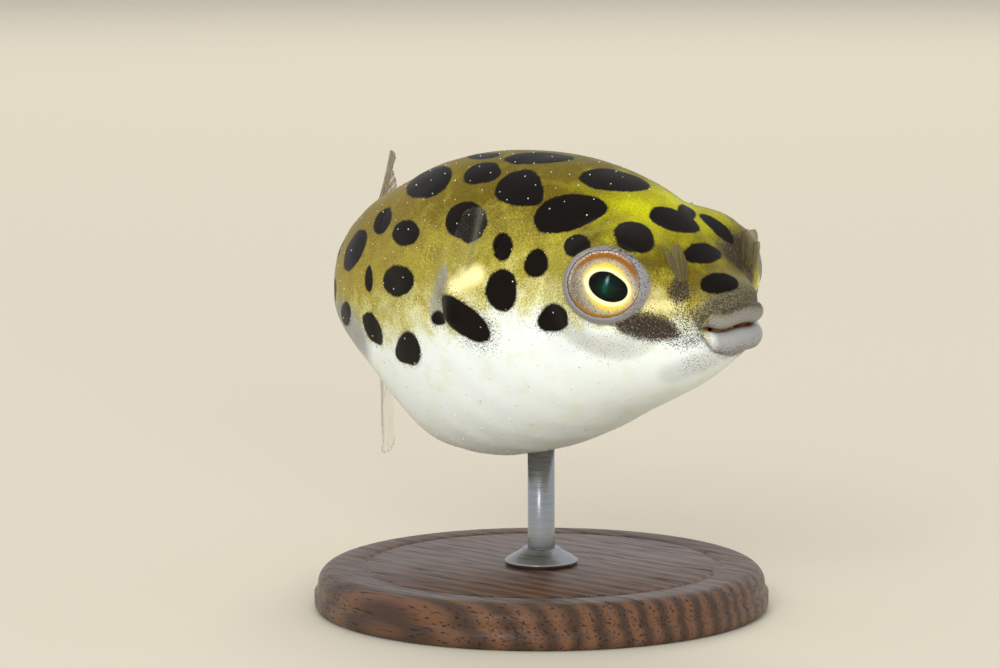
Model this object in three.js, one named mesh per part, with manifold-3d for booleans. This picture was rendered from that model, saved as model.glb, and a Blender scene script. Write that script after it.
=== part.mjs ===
// Green spotted puffer (Dichotomyctere nigroviridis): a still, life-size young fish on a small stand.
// Millimetres, +Z up. The origin is the centre of the stand's underside.
//
// The fish is drawn in a frame of its own: snout tip at the origin, nose towards +X, its left side
// towards +Y, and z = 0 at the mouth line. A station is the distance from the snout tip along the
// spine, and a girth angle runs round the body: 0 at the back, 90 at the flank, 180 at the belly.
import * as THREE from 'three';
import { mergeVertices } from 'three/addons/utils/BufferGeometryUtils.js';
import Module from 'manifold-3d';

const wasm = await Module();
wasm.setup();

// ---------------------------------------------------------------- driving dimensions (mm, degrees)

const standardLength = 55; // snout tip to the root of the tail fin
const seam = 0.3; // clearance between neighbouring pieces

const bend = { start: 29.3, length: 19, angle: 80 }; // the tail swings to the fish's left
const pose = { noseUp: 3.7, bank: 3.3 }; // how the fish leans on its rod

const cuts = { snout: 0.9, gill: 15.2, vent: 34.0, tailEnd: 54.8 }; // stations where the body is parted
const flankRoundness = 0.92; // exponent of the section, 1 is an ellipse

const eye = {
  station: 6.8,
  offset: 5.8, // from the midline
  height: 2.5,
  radius: 2.9,
  turnForward: 18,
  turnUp: 8,
  rimRadius: 2.75, // ring of skin around the eyeball
  rimHeight: 1.1, // the ring lies this far out from the eye's centre
  mound: 5.0, // reach of the swelling round the eye
};

const mouth = { height: -0.7, dip: 0.2, halfWidth: 2.45, corner: 1.8, front: 0.75 };
const upperLip = { rise: 0.86, thick: 0.72, tall: 0.74, setBack: 0 };
const lowerLip = { rise: -1.0, thick: 0.74, tall: 0.86, setBack: 0.12 };
const beak = { root: 2.5, depth: 0.75, halfWidth: 1.0, height: 0.7, gap: 0.08 };

const nostril = {
  station: 3.0, girth: 61, height: { right: 2.7, left: 1.8 }, rootWidth: 0.9, width: 1.6, fork: 0.35, thickness: 0.5,
  rise: { right: [-0.2, 0.45, 0.87], left: [-0.5, 0.6, 0.6] }, // forward, outward, up
};

const pectoral = {
  upper: { station: 16.7, girth: 63 },
  lower: { station: 19.3, girth: 88 },
  length: 7.4, // longest ray
  muscle: { station: 17.9, girth: 74, reach: 4.0, lift: 0.9 },
};
// Midline fins: root stations, ray length, slope of the first and last ray, lean to the fish's left.
const dorsal = { from: 33.6, to: 38.0, length: 6.8, slopes: [48, 16], lean: 0.5, bow: 0.05 };
const anal = { from: 35.4, to: 40.4, length: 10.0, slopes: [88, 50], lean: -0.02, bow: 0 };
const caudal = { root: 55.1, length: 12.0, spread: 21, curl: 1.2 };
const fin = { root: 0.8, edge: 0.52 }; // thickness of the fleshy root and of the free edge

const stand = {
  radius: 16,
  height: 3.0,
  chamfer: 0.5,
  rodRadius: 0.95,
  rodDepth: 3.2, // how far the rod enters the belly
  flange: { radius: 2.6, height: 0.9 },
  bellyHeight: 11.0, // lowest point of the belly above the table
  underStation: 19.8, // the rod meets the belly below this station
};

// Body outline, in percent of the standard length: [station, value].
const backLine = [
  [0.8, 3.1], [4.3, 6.2], [8.7, 10.6], [14.1, 14.7], [21.4, 18.0], [32.3, 20.1],
  [45.2, 19.6], [57.7, 15.5], [68.5, 11.2], [83.1, 8.3], [100, 7.3],
];
const bellyLine = [
  [0.8, -4.2], [4.3, -6.5], [9.0, -9.1], [14.1, -11.2], [18.8, -13.0], [25.0, -15.6], [35.9, -18.3],
  [45.2, -18.5], [52.5, -16.2], [58.2, -9.9], [64.9, -5.0], [72.2, -3.5], [83.1, -3.0], [100, -3.1],
];
const flankLine = [
  [0.8, 4.0], [4.3, 6.0], [8.7, 8.9], [14.1, 11.6], [21.4, 13.8], [32.3, 14.7],
  [45.2, 13.1], [56.1, 9.5], [64.9, 6.8], [75.8, 4.6], [86.7, 3.2], [100, 1.9],
];
const widestLine = [
  [0.8, 0], [8.7, 1.9], [21.4, 1.5], [32.3, 0.6], [46.8, 0.2], [61.3, 0.2], [75.8, 1.7], [100, 2.0],
];

// ---------------------------------------------------------------- curves and the body's skin

const radians = THREE.MathUtils.degToRad;
const sides = { right: -1, left: 1 };

// Smooth curve through outline knots, as a function of the station in mm.
function outline(knots) {
  const scale = standardLength / 100;
  const x = knots.map(([station]) => station * scale);
  const y = knots.map(([, value]) => value * scale);
  const chord = x.slice(1).map((next, i) => (y[i + 1] - y[i]) / (next - x[i]));
  const slope = x.map((_, i) => {
    if (i === 0) return chord[0];
    if (i === x.length - 1) return chord[i - 1];
    const before = x[i] - x[i - 1];
    const after = x[i + 1] - x[i];
    return (after * chord[i - 1] + before * chord[i]) / (before + after);
  });
  return (station) => {
    const s = THREE.MathUtils.clamp(station, x[0], x[x.length - 1]);
    let i = 0;
    while (i < x.length - 2 && s > x[i + 1]) i += 1;
    const span = x[i + 1] - x[i];
    const t = (s - x[i]) / span;
    const ease = t * t * (3 - 2 * t);
    return y[i] * (1 - ease) + y[i + 1] * ease
      + span * t * (1 - t) * ((1 - t) * slope[i] - t * slope[i + 1]);
  };
}

const back = outline(backLine);
const belly = outline(bellyLine);
const flank = outline(flankLine);
const widest = outline(widestLine);

// Place on the spine, with the unit vectors towards the tail and towards the fish's left.
function spine(station) {
  const radius = bend.length / radians(bend.angle);
  const turn = THREE.MathUtils.clamp((station - bend.start) / radius, 0, radians(bend.angle));
  const before = Math.min(station, bend.start);
  const after = Math.max(station - bend.start - bend.length, 0);
  const aft = new THREE.Vector3(-Math.cos(turn), Math.sin(turn), 0);
  const port = new THREE.Vector3(Math.sin(turn), Math.cos(turn), 0);
  const at = new THREE.Vector3(-before - radius * Math.sin(turn), radius * (1 - Math.cos(turn)), 0);
  at.addScaledVector(aft, after);
  return { at, aft, port };
}

// Eye on one side: its centre and the direction that it looks in.
function eyeOn(side) {
  const centre = new THREE.Vector3(-eye.station, side * eye.offset, eye.height);
  const forward = radians(eye.turnForward);
  const up = radians(eye.turnUp);
  const axis = new THREE.Vector3(
    Math.sin(forward) * Math.cos(up), side * Math.cos(forward) * Math.cos(up), Math.sin(up),
  );
  return { centre, axis };
}

// Swells the head round the eye, so that a ring of skin holds the eyeball.
function raiseOrbit(point, side) {
  const { centre, axis } = eyeOn(side);
  const away = point.clone().sub(centre);
  const level = away.dot(axis);
  const reach = away.addScaledVector(axis, -level).length();
  const near = 1 - THREE.MathUtils.smoothstep(reach, eye.rimRadius, eye.mound);
  const sameSide = THREE.MathUtils.smoothstep(level, -1.6 * eye.radius, -0.7 * eye.radius);
  const lift = Math.max(0, eye.rimHeight - level) * near * sameSide;
  point.addScaledVector(axis, lift);
}

function bareSkin(station, girth) {
  const { at, port } = spine(station);
  const up = Math.cos(girth);
  const across = Math.sin(girth);
  const middle = widest(station);
  const height = middle + up * (up > 0 ? back(station) - middle : middle - belly(station));
  const lateral = flank(station) * Math.sign(across) * Math.abs(across) ** flankRoundness;
  return at.addScaledVector(port, -lateral).setZ(height);
}

const muscleSeat = Object.fromEntries(Object.entries(sides).map(([name, side]) => [
  name, bareSkin(pectoral.muscle.station, -side * radians(pectoral.muscle.girth)),
]));

// Point of the skin. A positive girth angle is on the fish's right.
function skin(station, girth) {
  const point = bareSkin(station, girth);
  for (const [name, side] of Object.entries(sides)) {
    raiseOrbit(point, side);
    const near = 1 - THREE.MathUtils.smoothstep(
      point.distanceTo(muscleSeat[name]), 0.2 * pectoral.muscle.reach, pectoral.muscle.reach,
    );
    point.y += side * pectoral.muscle.lift * near;
  }
  return point;
}

function skinNormal(station, girth) {
  const small = 0.02;
  const along = skin(station + small, girth).sub(skin(station - small, girth));
  const round = skin(station, girth + small).sub(skin(station, girth - small));
  return along.cross(round).normalize();
}

// ---------------------------------------------------------------- closed solids

function closedGeometry(points, faces) {
  const geometry = new THREE.BufferGeometry();
  const numbers = points.flatMap((point) => point.toArray());
  geometry.setAttribute('position', new THREE.Float32BufferAttribute(numbers, 3));
  geometry.setIndex(faces.flat());
  if (signedVolume(geometry) < 0) geometry.setIndex(faces.map(([a, b, c]) => [a, c, b]).flat());
  geometry.computeVertexNormals();
  return geometry;
}

function signedVolume(geometry) {
  const position = geometry.getAttribute('position');
  const index = geometry.getIndex();
  const corner = [new THREE.Vector3(), new THREE.Vector3(), new THREE.Vector3()];
  let volume = 0;
  for (let i = 0; i < index.count; i += 3) {
    corner.forEach((vertex, k) => vertex.fromBufferAttribute(position, index.getX(i + k)));
    volume += corner[0].dot(corner[1].clone().cross(corner[2])) / 6;
  }
  return volume;
}

// Loft through closed rings with the same number of points, each end closed by a fan.
function loft(rings) {
  const around = rings[0].length;
  const points = rings.flat();
  const faces = [];
  for (let i = 0; i < rings.length - 1; i += 1) {
    for (let j = 0; j < around; j += 1) {
      const a = i * around + j;
      const b = i * around + ((j + 1) % around);
      faces.push([a, b, b + around], [a, b + around, a + around]);
    }
  }
  for (const ring of [0, rings.length - 1]) {
    const hub = rings[ring].reduce((sum, p) => sum.add(p), new THREE.Vector3()).divideScalar(around);
    const first = ring * around;
    for (let j = 0; j < around; j += 1) {
      const pair = [first + ((j + 1) % around), first + j];
      if (ring) pair.reverse();
      faces.push([points.length, ...pair]);
    }
    points.push(hub);
  }
  return closedGeometry(points, faces);
}

// Thickens a grid of points into a closed blade. The thickness is a function of the place (0 to 1).
function blade(grid, thickness) {
  const rows = grid.length;
  const columns = grid[0].length;
  const faces = [];
  const upper = [];
  const lower = [];
  grid.forEach((row, i) => row.forEach((point, j) => {
    const across = grid[Math.min(i + 1, rows - 1)][j].clone().sub(grid[Math.max(i - 1, 0)][j]);
    const along = row[Math.min(j + 1, columns - 1)].clone().sub(row[Math.max(j - 1, 0)]);
    const normal = across.cross(along).normalize();
    const half = thickness(i / (rows - 1), j / (columns - 1)) / 2;
    upper.push(point.clone().addScaledVector(normal, half));
    lower.push(point.clone().addScaledVector(normal, -half));
  }));
  const far = upper.length;
  for (let i = 0; i < rows - 1; i += 1) {
    for (let j = 0; j < columns - 1; j += 1) {
      const a = i * columns + j;
      const b = a + columns;
      faces.push([a, b, b + 1], [a, b + 1, a + 1]);
      faces.push([far + a, far + b + 1, far + b], [far + a, far + a + 1, far + b + 1]);
    }
  }
  const border = [];
  for (let j = 0; j < columns - 1; j += 1) border.push(j);
  for (let i = 0; i < rows - 1; i += 1) border.push(i * columns + columns - 1);
  for (let j = columns - 1; j > 0; j -= 1) border.push((rows - 1) * columns + j);
  for (let i = rows - 1; i > 0; i -= 1) border.push(i * columns);
  border.forEach((a, k) => {
    const b = border[(k + 1) % border.length];
    faces.push([a, b, far + b], [a, far + b, far + a]);
  });
  return closedGeometry([...upper, ...lower], faces);
}

function solidOf(geometry) {
  const bare = new THREE.BufferGeometry();
  bare.setAttribute('position', geometry.getAttribute('position').clone());
  if (geometry.getIndex()) bare.setIndex(geometry.getIndex().clone());
  const merged = mergeVertices(bare, 1e-5);
  return new wasm.Manifold(new wasm.Mesh({
    numProp: 3,
    vertProperties: new Float32Array(merged.getAttribute('position').array),
    triVerts: new Uint32Array(merged.getIndex().array),
  }));
}

function geometryOf(solid) {
  const { vertProperties, triVerts } = solid.getMesh();
  const geometry = new THREE.BufferGeometry();
  geometry.setAttribute('position', new THREE.BufferAttribute(new Float32Array(vertProperties), 3));
  geometry.setIndex(new THREE.BufferAttribute(new Uint32Array(triVerts), 1));
  geometry.computeVertexNormals();
  return geometry;
}

// Cuts the tools out of a geometry. Slivers that a cut leaves loose are dropped.
function cutAway(geometry, tools) {
  const cut = tools.reduce((solid, tool) => solid.subtract(solidOf(tool)), solidOf(geometry));
  const [largest] = cut.decompose().sort((a, b) => b.volume() - a.volume());
  return geometryOf(largest);
}

// ---------------------------------------------------------------- materials

const finish = (color, roughness, metalness = 0) => (
  new THREE.MeshStandardMaterial({ color, roughness, metalness })
);
const paint = {
  skin: finish('#b5a53c', 0.45),
  lip: finish('#a9a4a6', 0.4),
  beak: finish('#d9c9a4', 0.35),
  eye: finish('#d8b24a', 0.1),
  fin: finish('#cfc9a8', 0.4),
  wood: finish('#4a3222', 0.4),
  steel: finish('#b9bcc0', 0.3, 1),
};

const fish = new THREE.Group();

function add(parent, name, geometry, material) {
  const mesh = new THREE.Mesh(geometry, material);
  mesh.name = name;
  parent.add(mesh);
  return mesh;
}

// ---------------------------------------------------------------- head, trunk and tail

function bodyLength(from, to, rings, around) {
  return loft(Array.from({ length: rings + 1 }, (_, i) => (
    Array.from({ length: around }, (__, j) => (
      skin(from + ((to - from) * i) / rings, (2 * Math.PI * (j + 0.5)) / around)
    ))
  )));
}

function buildHead() {
  const sockets = Object.values(sides).map((side) => {
    const { x, y, z } = eyeOn(side).centre;
    return new THREE.SphereGeometry(eye.radius + seam, 22, 14).translate(x, y, z);
  });
  const grooves = [upperLip, lowerLip].map((form) => lip(form, seam));
  const head = bodyLength(cuts.snout, cuts.gill, 20, 36);
  add(fish, 'head', cutAway(head, [...sockets, ...grooves, mouthHollow()]), paint.skin);
}

// The rod stands upright in the finished model, so its socket leans in the fish's own frame.
function rodSocket() {
  const low = skin(stand.underStation, Math.PI);
  const bore = stand.rodRadius + seam;
  const socket = new THREE.CylinderGeometry(bore, bore, 2 * stand.rodDepth, 20);
  socket.rotateX(Math.PI / 2);
  socket.applyQuaternion(lean().invert());
  return socket.translate(low.x, low.y, low.z);
}

function buildTrunk() {
  const trunk = bodyLength(cuts.gill + seam, cuts.vent, 12, 32);
  add(fish, 'trunk', cutAway(trunk, [rodSocket()]), paint.skin);
}

function buildTail() {
  add(fish, 'tail', bodyLength(cuts.vent + seam, cuts.tailEnd, 16, 24), paint.skin);
}

// ---------------------------------------------------------------- mouth

// A lip is a soft tube bent round the front of the jaw, thinner towards the corners of the mouth.
function lip({ rise, thick, tall, setBack }, clearance = 0) {
  const steps = 14;
  const around = 10;
  const depth = mouth.corner - mouth.front;
  const rings = [];
  for (let i = 0; i <= steps; i += 1) {
    const turn = Math.PI * (i / steps - 0.5);
    const ahead = Math.cos(turn);
    const across = Math.sin(turn);
    const centre = new THREE.Vector3(
      -mouth.corner - setBack + depth * ahead ** 0.8,
      mouth.halfWidth * across,
      mouth.height - mouth.dip * ahead + rise * (0.7 + 0.3 * ahead),
    );
    const outward = new THREE.Vector3(ahead / depth, across / mouth.halfWidth, 0).normalize();
    const size = 0.5 + 0.5 * ahead ** 0.6;
    rings.push(Array.from({ length: around }, (_, j) => {
      const angle = (2 * Math.PI * j) / around;
      return centre.clone()
        .addScaledVector(outward, (thick * size + clearance) * Math.cos(angle))
        .add(new THREE.Vector3(0, 0, (tall * size + clearance) * Math.sin(angle)));
    }));
  }
  return loft(rings);
}

// Half-round plate in the plane of the mouth, from `low` to `high` above the mouth line.
function halfDisc(halfWidth, depth, low, high) {
  const rim = new THREE.Shape();
  rim.moveTo(0, -halfWidth);
  rim.absellipse(0, 0, depth, halfWidth, -Math.PI / 2, Math.PI / 2, false);
  rim.closePath();
  const plate = new THREE.ExtrudeGeometry(rim, {
    depth: high - low, bevelEnabled: false, curveSegments: 10,
  });
  return plate.translate(-beak.root, 0, mouth.height - mouth.dip + low);
}

function mouthHollow() {
  const half = beak.gap + beak.height + seam;
  return halfDisc(beak.halfWidth + seam, beak.root, -half, half).translate(-seam, 0, 0);
}

// Each jaw ends in a fused tooth plate behind the lip.
function buildMouth() {
  const { halfWidth, depth, gap, height } = beak;
  add(fish, 'upper_lip', lip(upperLip), paint.lip);
  add(fish, 'lower_lip', lip(lowerLip), paint.lip);
  add(fish, 'beak_upper', halfDisc(halfWidth, depth, gap, gap + height), paint.beak);
  add(fish, 'beak_lower', halfDisc(halfWidth, depth, -gap - height, -gap), paint.beak);
}

// ---------------------------------------------------------------- eyes and nostrils

function buildEyes() {
  for (const [name, side] of Object.entries(sides)) {
    const { centre, axis } = eyeOn(side);
    const ball = new THREE.SphereGeometry(eye.radius, 22, 14);
    const mesh = add(fish, `eye_${name}`, ball.rotateX(Math.PI / 2), paint.eye);
    mesh.position.copy(centre);
    mesh.quaternion.setFromUnitVectors(new THREE.Vector3(0, 0, 1), axis);
  }
}

// Unit vector from its forward, outward and upward parts, on one side of the fish.
const outwardVector = (side, [forward, outward, up]) => (
  new THREE.Vector3(forward, side * outward, up).normalize()
);

// A forked flap of skin: two leaves on one root.
function nostrilFlap(name, side) {
  const girth = -side * radians(nostril.girth);
  const outward = skinNormal(nostril.station, girth);
  if (outward.y * side < 0) outward.negate();
  const rise = outwardVector(side, nostril.rise[name]);
  const across = rise.clone().cross(outward).normalize();
  const root = skin(nostril.station, girth).addScaledVector(outward, seam + nostril.thickness / 2);
  const rows = 6;
  const columns = 5;
  return blade(Array.from({ length: rows + 1 }, (_, i) => {
    const place = 2 * (i / rows) - 1;
    const reach = 1 - nostril.fork * Math.cos(Math.PI * place / 2) ** 2;
    return Array.from({ length: columns + 1 }, (__, j) => {
      const t = j / columns;
      const width = nostril.rootWidth + (nostril.width - nostril.rootWidth) * Math.sqrt(t);
      return root.clone()
        .addScaledVector(across, 0.5 * width * place)
        .addScaledVector(rise, nostril.height[name] * reach * t)
        .addScaledVector(outward, 0.3 * nostril.width * place * place * t);
    });
  }), () => nostril.thickness);
}

function buildNostrils() {
  for (const [name, side] of Object.entries(sides)) {
    add(fish, `nostril_${name}`, nostrilFlap(name, side), paint.skin);
  }
}

// ---------------------------------------------------------------- fins

const finThickness = (_, t) => fin.root + (fin.edge - fin.root) * Math.min(1, t * 1.6);

// A fan of rays. `ray(u)` gives the root, the unit direction, the length and a bow for u from 0 to 1.
function fan(ray, rays, steps) {
  return blade(Array.from({ length: rays + 1 }, (_, i) => {
    const { root, direction, length, bow } = ray(i / rays);
    return Array.from({ length: steps + 1 }, (__, j) => {
      const t = j / steps;
      return root.clone().addScaledVector(direction, length * t).addScaledVector(bow, length * t * t);
    });
  }), finThickness);
}

// Dorsal and anal fins stand on the midline, sweep back along the spine and lean a little.
function midlineFin(form, girth) {
  const up = Math.cos(girth);
  return fan((u) => {
    const station = form.from + (form.to - form.from) * u;
    const slope = radians(form.slopes[0] + (form.slopes[1] - form.slopes[0]) * u);
    const { aft, port } = spine(station);
    const root = skin(station, girth).add(new THREE.Vector3(0, 0, up * (seam + 0.05)));
    const direction = aft.clone().multiplyScalar(Math.cos(slope)).setZ(up * Math.sin(slope));
    direction.addScaledVector(port, form.lean).normalize();
    const length = form.length * (0.72 + 0.28 * Math.sin(Math.PI * u));
    return { root, direction, length, bow: port.multiplyScalar(form.bow) };
  }, 10, 6);
}

function buildMidlineFins() {
  add(fish, 'dorsal_fin', midlineFin(dorsal, 0), paint.fin);
  add(fish, 'anal_fin', midlineFin(anal, Math.PI), paint.fin);
}

function buildCaudalFin() {
  const { at, aft, port } = spine(caudal.root);
  const top = back(standardLength);
  const bottom = belly(standardLength);
  const rootHalf = 0.44 * (top - bottom);
  add(fish, 'caudal_fin', fan((u) => {
    const across = 2 * u - 1;
    const root = at.clone().setZ((top + bottom) / 2 + rootHalf * across);
    const angle = radians(caudal.spread * across);
    const direction = aft.clone().multiplyScalar(Math.cos(angle)).setZ(Math.sin(angle));
    const length = caudal.length * (1 - 0.16 * across * across);
    return { root, direction, length, bow: port.clone().multiplyScalar(-caudal.curl / caudal.length) };
  }, 14, 8), paint.fin);
}

// Directions of the front, middle and rear pectoral rays: forward, outward, up.
const pectoralRays = {
  right: { front: [0.85, 0.5, 0.12], middle: [0.58, 0.32, 0.75], rear: [0.4, 0.37, 0.84] },
  left: { front: [0.3, 0.95, 0.05], middle: [-0.1, 0.95, 0.25], rear: [-0.6, 0.75, 0.15] },
};

function buildPectoralFins() {
  const { upper, lower } = pectoral;
  for (const [name, side] of Object.entries(sides)) {
    const rays = Object.values(pectoralRays[name]);
    const [front, middle, rear] = rays.map((ray) => outwardVector(side, ray));
    add(fish, `pectoral_fin_${name}`, fan((u) => {
      const station = upper.station + (lower.station - upper.station) * u;
      const girth = -side * radians(upper.girth + (lower.girth - upper.girth) * u);
      const outward = skinNormal(station, girth);
      if (outward.y * side < 0) outward.negate();
      const root = skin(station, girth).addScaledVector(outward, seam + 0.5 * fin.root);
      const direction = front.clone().multiplyScalar((1 - u) ** 2)
        .addScaledVector(middle, 2 * u * (1 - u)).addScaledVector(rear, u * u).normalize();
      const length = pectoral.length * (0.8 + 0.2 * Math.sin(Math.PI * u));
      return { root, direction, length, bow: new THREE.Vector3(0, 0, 0.1) };
    }, 9, 7), paint.fin);
  }
}

// ---------------------------------------------------------------- stand and assembly

// Turn of the fish on its rod: nose up, and banked towards its right side.
function lean() {
  return new THREE.Quaternion().setFromEuler(
    new THREE.Euler(radians(pose.bank), -radians(pose.noseUp), 0, 'ZYX'),
  );
}

function buildStand(model) {
  const { radius, height, chamfer, flange } = stand;
  const baseProfile = [
    [0, 0], [radius - chamfer, 0], [radius, chamfer], [radius, height - 2 * chamfer],
    [radius - chamfer / 2, height - chamfer / 2], [radius - 2 * chamfer, height], [0, height],
  ].map(([r, z]) => new THREE.Vector2(r, z));
  add(model, 'stand_base', new THREE.LatheGeometry(baseProfile, 60).rotateX(Math.PI / 2), paint.wood);

  const foot = height + seam;
  const bore = stand.rodRadius + seam;
  const flangeProfile = [
    [bore, foot], [flange.radius, foot], [flange.radius, foot + 0.5 * flange.height],
    [0.6 * flange.radius, foot + flange.height], [bore, foot + flange.height], [bore, foot],
  ].map(([r, z]) => new THREE.Vector2(r, z));
  add(model, 'stand_flange', new THREE.LatheGeometry(flangeProfile, 32).rotateX(Math.PI / 2), paint.steel);

  const top = stand.bellyHeight + stand.rodDepth - 2 * seam;
  const rod = new THREE.CylinderGeometry(stand.rodRadius, stand.rodRadius, top - foot, 24);
  add(model, 'stand_rod', rod.rotateX(Math.PI / 2).translate(0, 0, (top + foot) / 2), paint.steel);
}

// The belly's lowest point lies over the centre of the base.
function placeOverStand() {
  fish.quaternion.copy(lean());
  const low = skin(stand.underStation, Math.PI).applyQuaternion(fish.quaternion);
  fish.position.set(-low.x, -low.y, stand.bellyHeight - low.z);
}

const model = new THREE.Group();
buildHead();
buildTrunk();
buildTail();
buildMouth();
buildEyes();
buildNostrils();
buildMidlineFins();
buildCaudalFin();
buildPectoralFins();
placeOverStand();
model.add(fish);
buildStand(model);

export default model;
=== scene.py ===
"""Green spotted puffer, a still life-size fish on a small stand, made as a Blender add-on.

The fish is drawn in a frame of its own, in millimetres: snout tip at the origin, nose towards +X, its
left side towards +Y and z = 0 at the mouth line. A station is the distance from the snout tip along the
spine. A girth angle runs round the body: 0 at the back, 90 at the fish's right flank, 180 at the belly.
"""
import functools
import math

import bpy
import numpy as np
from bpy.props import FloatProperty, FloatVectorProperty, IntProperty, PointerProperty
from mathutils import Euler, Matrix, Vector


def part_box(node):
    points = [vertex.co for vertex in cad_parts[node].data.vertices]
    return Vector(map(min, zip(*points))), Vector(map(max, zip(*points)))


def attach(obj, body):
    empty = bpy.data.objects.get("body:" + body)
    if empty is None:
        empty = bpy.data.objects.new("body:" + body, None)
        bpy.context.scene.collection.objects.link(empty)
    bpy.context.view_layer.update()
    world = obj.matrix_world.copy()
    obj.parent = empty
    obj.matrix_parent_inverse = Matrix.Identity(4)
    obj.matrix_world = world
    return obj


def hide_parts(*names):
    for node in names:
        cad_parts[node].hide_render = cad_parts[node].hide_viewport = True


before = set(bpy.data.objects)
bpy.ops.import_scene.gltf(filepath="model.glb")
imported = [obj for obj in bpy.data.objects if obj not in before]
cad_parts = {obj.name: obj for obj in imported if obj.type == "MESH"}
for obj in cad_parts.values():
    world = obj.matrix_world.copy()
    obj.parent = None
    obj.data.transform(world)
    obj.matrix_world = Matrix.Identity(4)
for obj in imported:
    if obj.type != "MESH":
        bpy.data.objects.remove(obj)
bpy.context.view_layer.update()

bl_info = {
    "name": "Green spotted puffer",
    "version": (1, 0, 0),
    "blender": (4, 5, 0),
    "location": "3D View > Sidebar > Puffer",
    "description": "A life-size young green spotted puffer on a display stand",
    "category": "Add Mesh",
}

# ------------------------------------------------------------------ driving sizes (mm and degrees)

MM = 0.001  # one millimetre in metres
STANDARD_LENGTH = 55.0
BEND = {"start": 29.3, "length": 19.0, "angle": 80.0}  # the tail swings to the fish's left
POSE = {"nose_up": 3.7, "bank": 3.3}
FLANK_ROUNDNESS = 0.92
EYE = {
    "station": 6.8,
    "offset": 5.8,
    "height": 2.5,
    "radius": 2.9,
    "turn_forward": 18.0,
    "turn_up": 8.0,
    "rim_radius": 2.75,
    "rim_height": 1.1,
    "mound": 5.0,
}
MOUTH = {"height": -0.7, "dip": 0.2, "half_width": 2.45, "corner": 1.8, "front": 0.75}
MOUTH_BOW = {1: 0.19, -1: 0.15}  # how far the edge of each lip sinks beside the middle
UPPER_LIP = {
    "rise": 0.9, "thick": 0.72, "tall": 0.74, "set_back": 0.0, "join": 0.95, "swell": 0.2, "crease": 0.07,
}
LOWER_LIP = {
    "rise": -0.92, "thick": 0.74, "tall": 0.8, "set_back": 0.26, "join": 1.5, "swell": 0.0, "crease": -0.04,
}
LIP_CORNER_JOIN = 2.4  # station where the skin turns into the corner of the mouth
# The rings of skin are a little longer than tall. The pupil lies ahead of and under the ring's middle.
EYE_RINGS = {
    -1: {"ahead": 0.28, "up": 0.13, "long": 1.11, "tall": 0.95},
    1: {"ahead": -0.12, "up": 0.0, "long": 1.0, "tall": 0.97},
}
PUPIL = {"ahead": 0.33, "up": -0.18, "droop": 18.0}
BEAK = {"root": 2.5, "depth": 0.75, "half_width": 1.0, "height": 0.7, "gap": 0.08}
NOSTRIL = {"station": 3.3, "girth": 53.0}
PECTORAL = {
    "upper": (16.7, 63.0),
    "lower": (19.3, 88.0),
    "length": 7.4,
    "muscle": (17.9, 74.0),
    "reach": 4.0,
    "lift": 0.9,
}
PECTORAL_RAYS = {  # directions of the front, middle and rear rays: forward, outward, up
    -1: ((0.8, 0.48, 0.25), (0.6, 0.33, 0.72), (0.42, 0.36, 0.84)),
    1: ((0.3, 0.95, 0.05), (-0.1, 0.95, 0.25), (-0.6, 0.75, 0.15)),
}
DORSAL = {"from": 33.6, "to": 38.0, "length": 6.8, "slopes": (48, 16), "lean": 0.5, "bow": 0.05}
ANAL = {"from": 35.4, "to": 40.4, "length": 10.0, "slopes": (88, 50), "lean": -0.02, "bow": 0.0}
CAUDAL = {"root": 55.1, "length": 12.0, "spread": 21.0, "curl": 1.2}
STAND = {"belly_height": 11.0, "under_station": 19.8, "rod_depth": 1.2}
SEAM = 0.3  # clearance that the solids keep between their pieces
SIDES = (("right", -1), ("left", 1))

# Body outline, in percent of the standard length: (station, value).
BACK_LINE = (
    (0.8, 3.1), (4.3, 6.2), (8.7, 10.6), (14.1, 14.7), (21.4, 18.0), (32.3, 20.1),
    (45.2, 19.6), (57.7, 15.5), (68.5, 11.2), (83.1, 8.3), (100, 7.3),
)
BELLY_LINE = (
    (0.8, -4.2), (4.3, -6.5), (9.0, -9.1), (14.1, -11.2), (18.8, -13.0), (25.0, -15.6), (35.9, -18.3),
    (45.2, -18.5), (52.5, -16.2), (58.2, -9.9), (64.9, -5.0), (72.2, -3.5), (83.1, -3.0), (100, -3.1),
)
FLANK_LINE = (
    (0.8, 4.0), (4.3, 6.0), (8.7, 8.9), (14.1, 11.6), (21.4, 13.8), (32.3, 14.7),
    (45.2, 13.1), (56.1, 9.5), (64.9, 6.8), (75.8, 4.6), (86.7, 3.2), (100, 1.9),
)
WIDEST_LINE = (
    (0.8, 0), (8.7, 1.9), (21.4, 1.5), (32.3, 0.6), (46.8, 0.2), (61.3, 0.2), (75.8, 1.7), (100, 2.0),
)
# Girth angle where the yellow flank turns into the white belly: (station in mm, degrees).
WHITE_LINE = (
    (0, 116), (2, 114), (4, 111), (7, 102), (10, 97), (12, 93), (15, 91), (18, 93), (22, 98),
    (26, 102), (30, 105), (35, 108), (45, 104), (55, 98),
)
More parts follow.
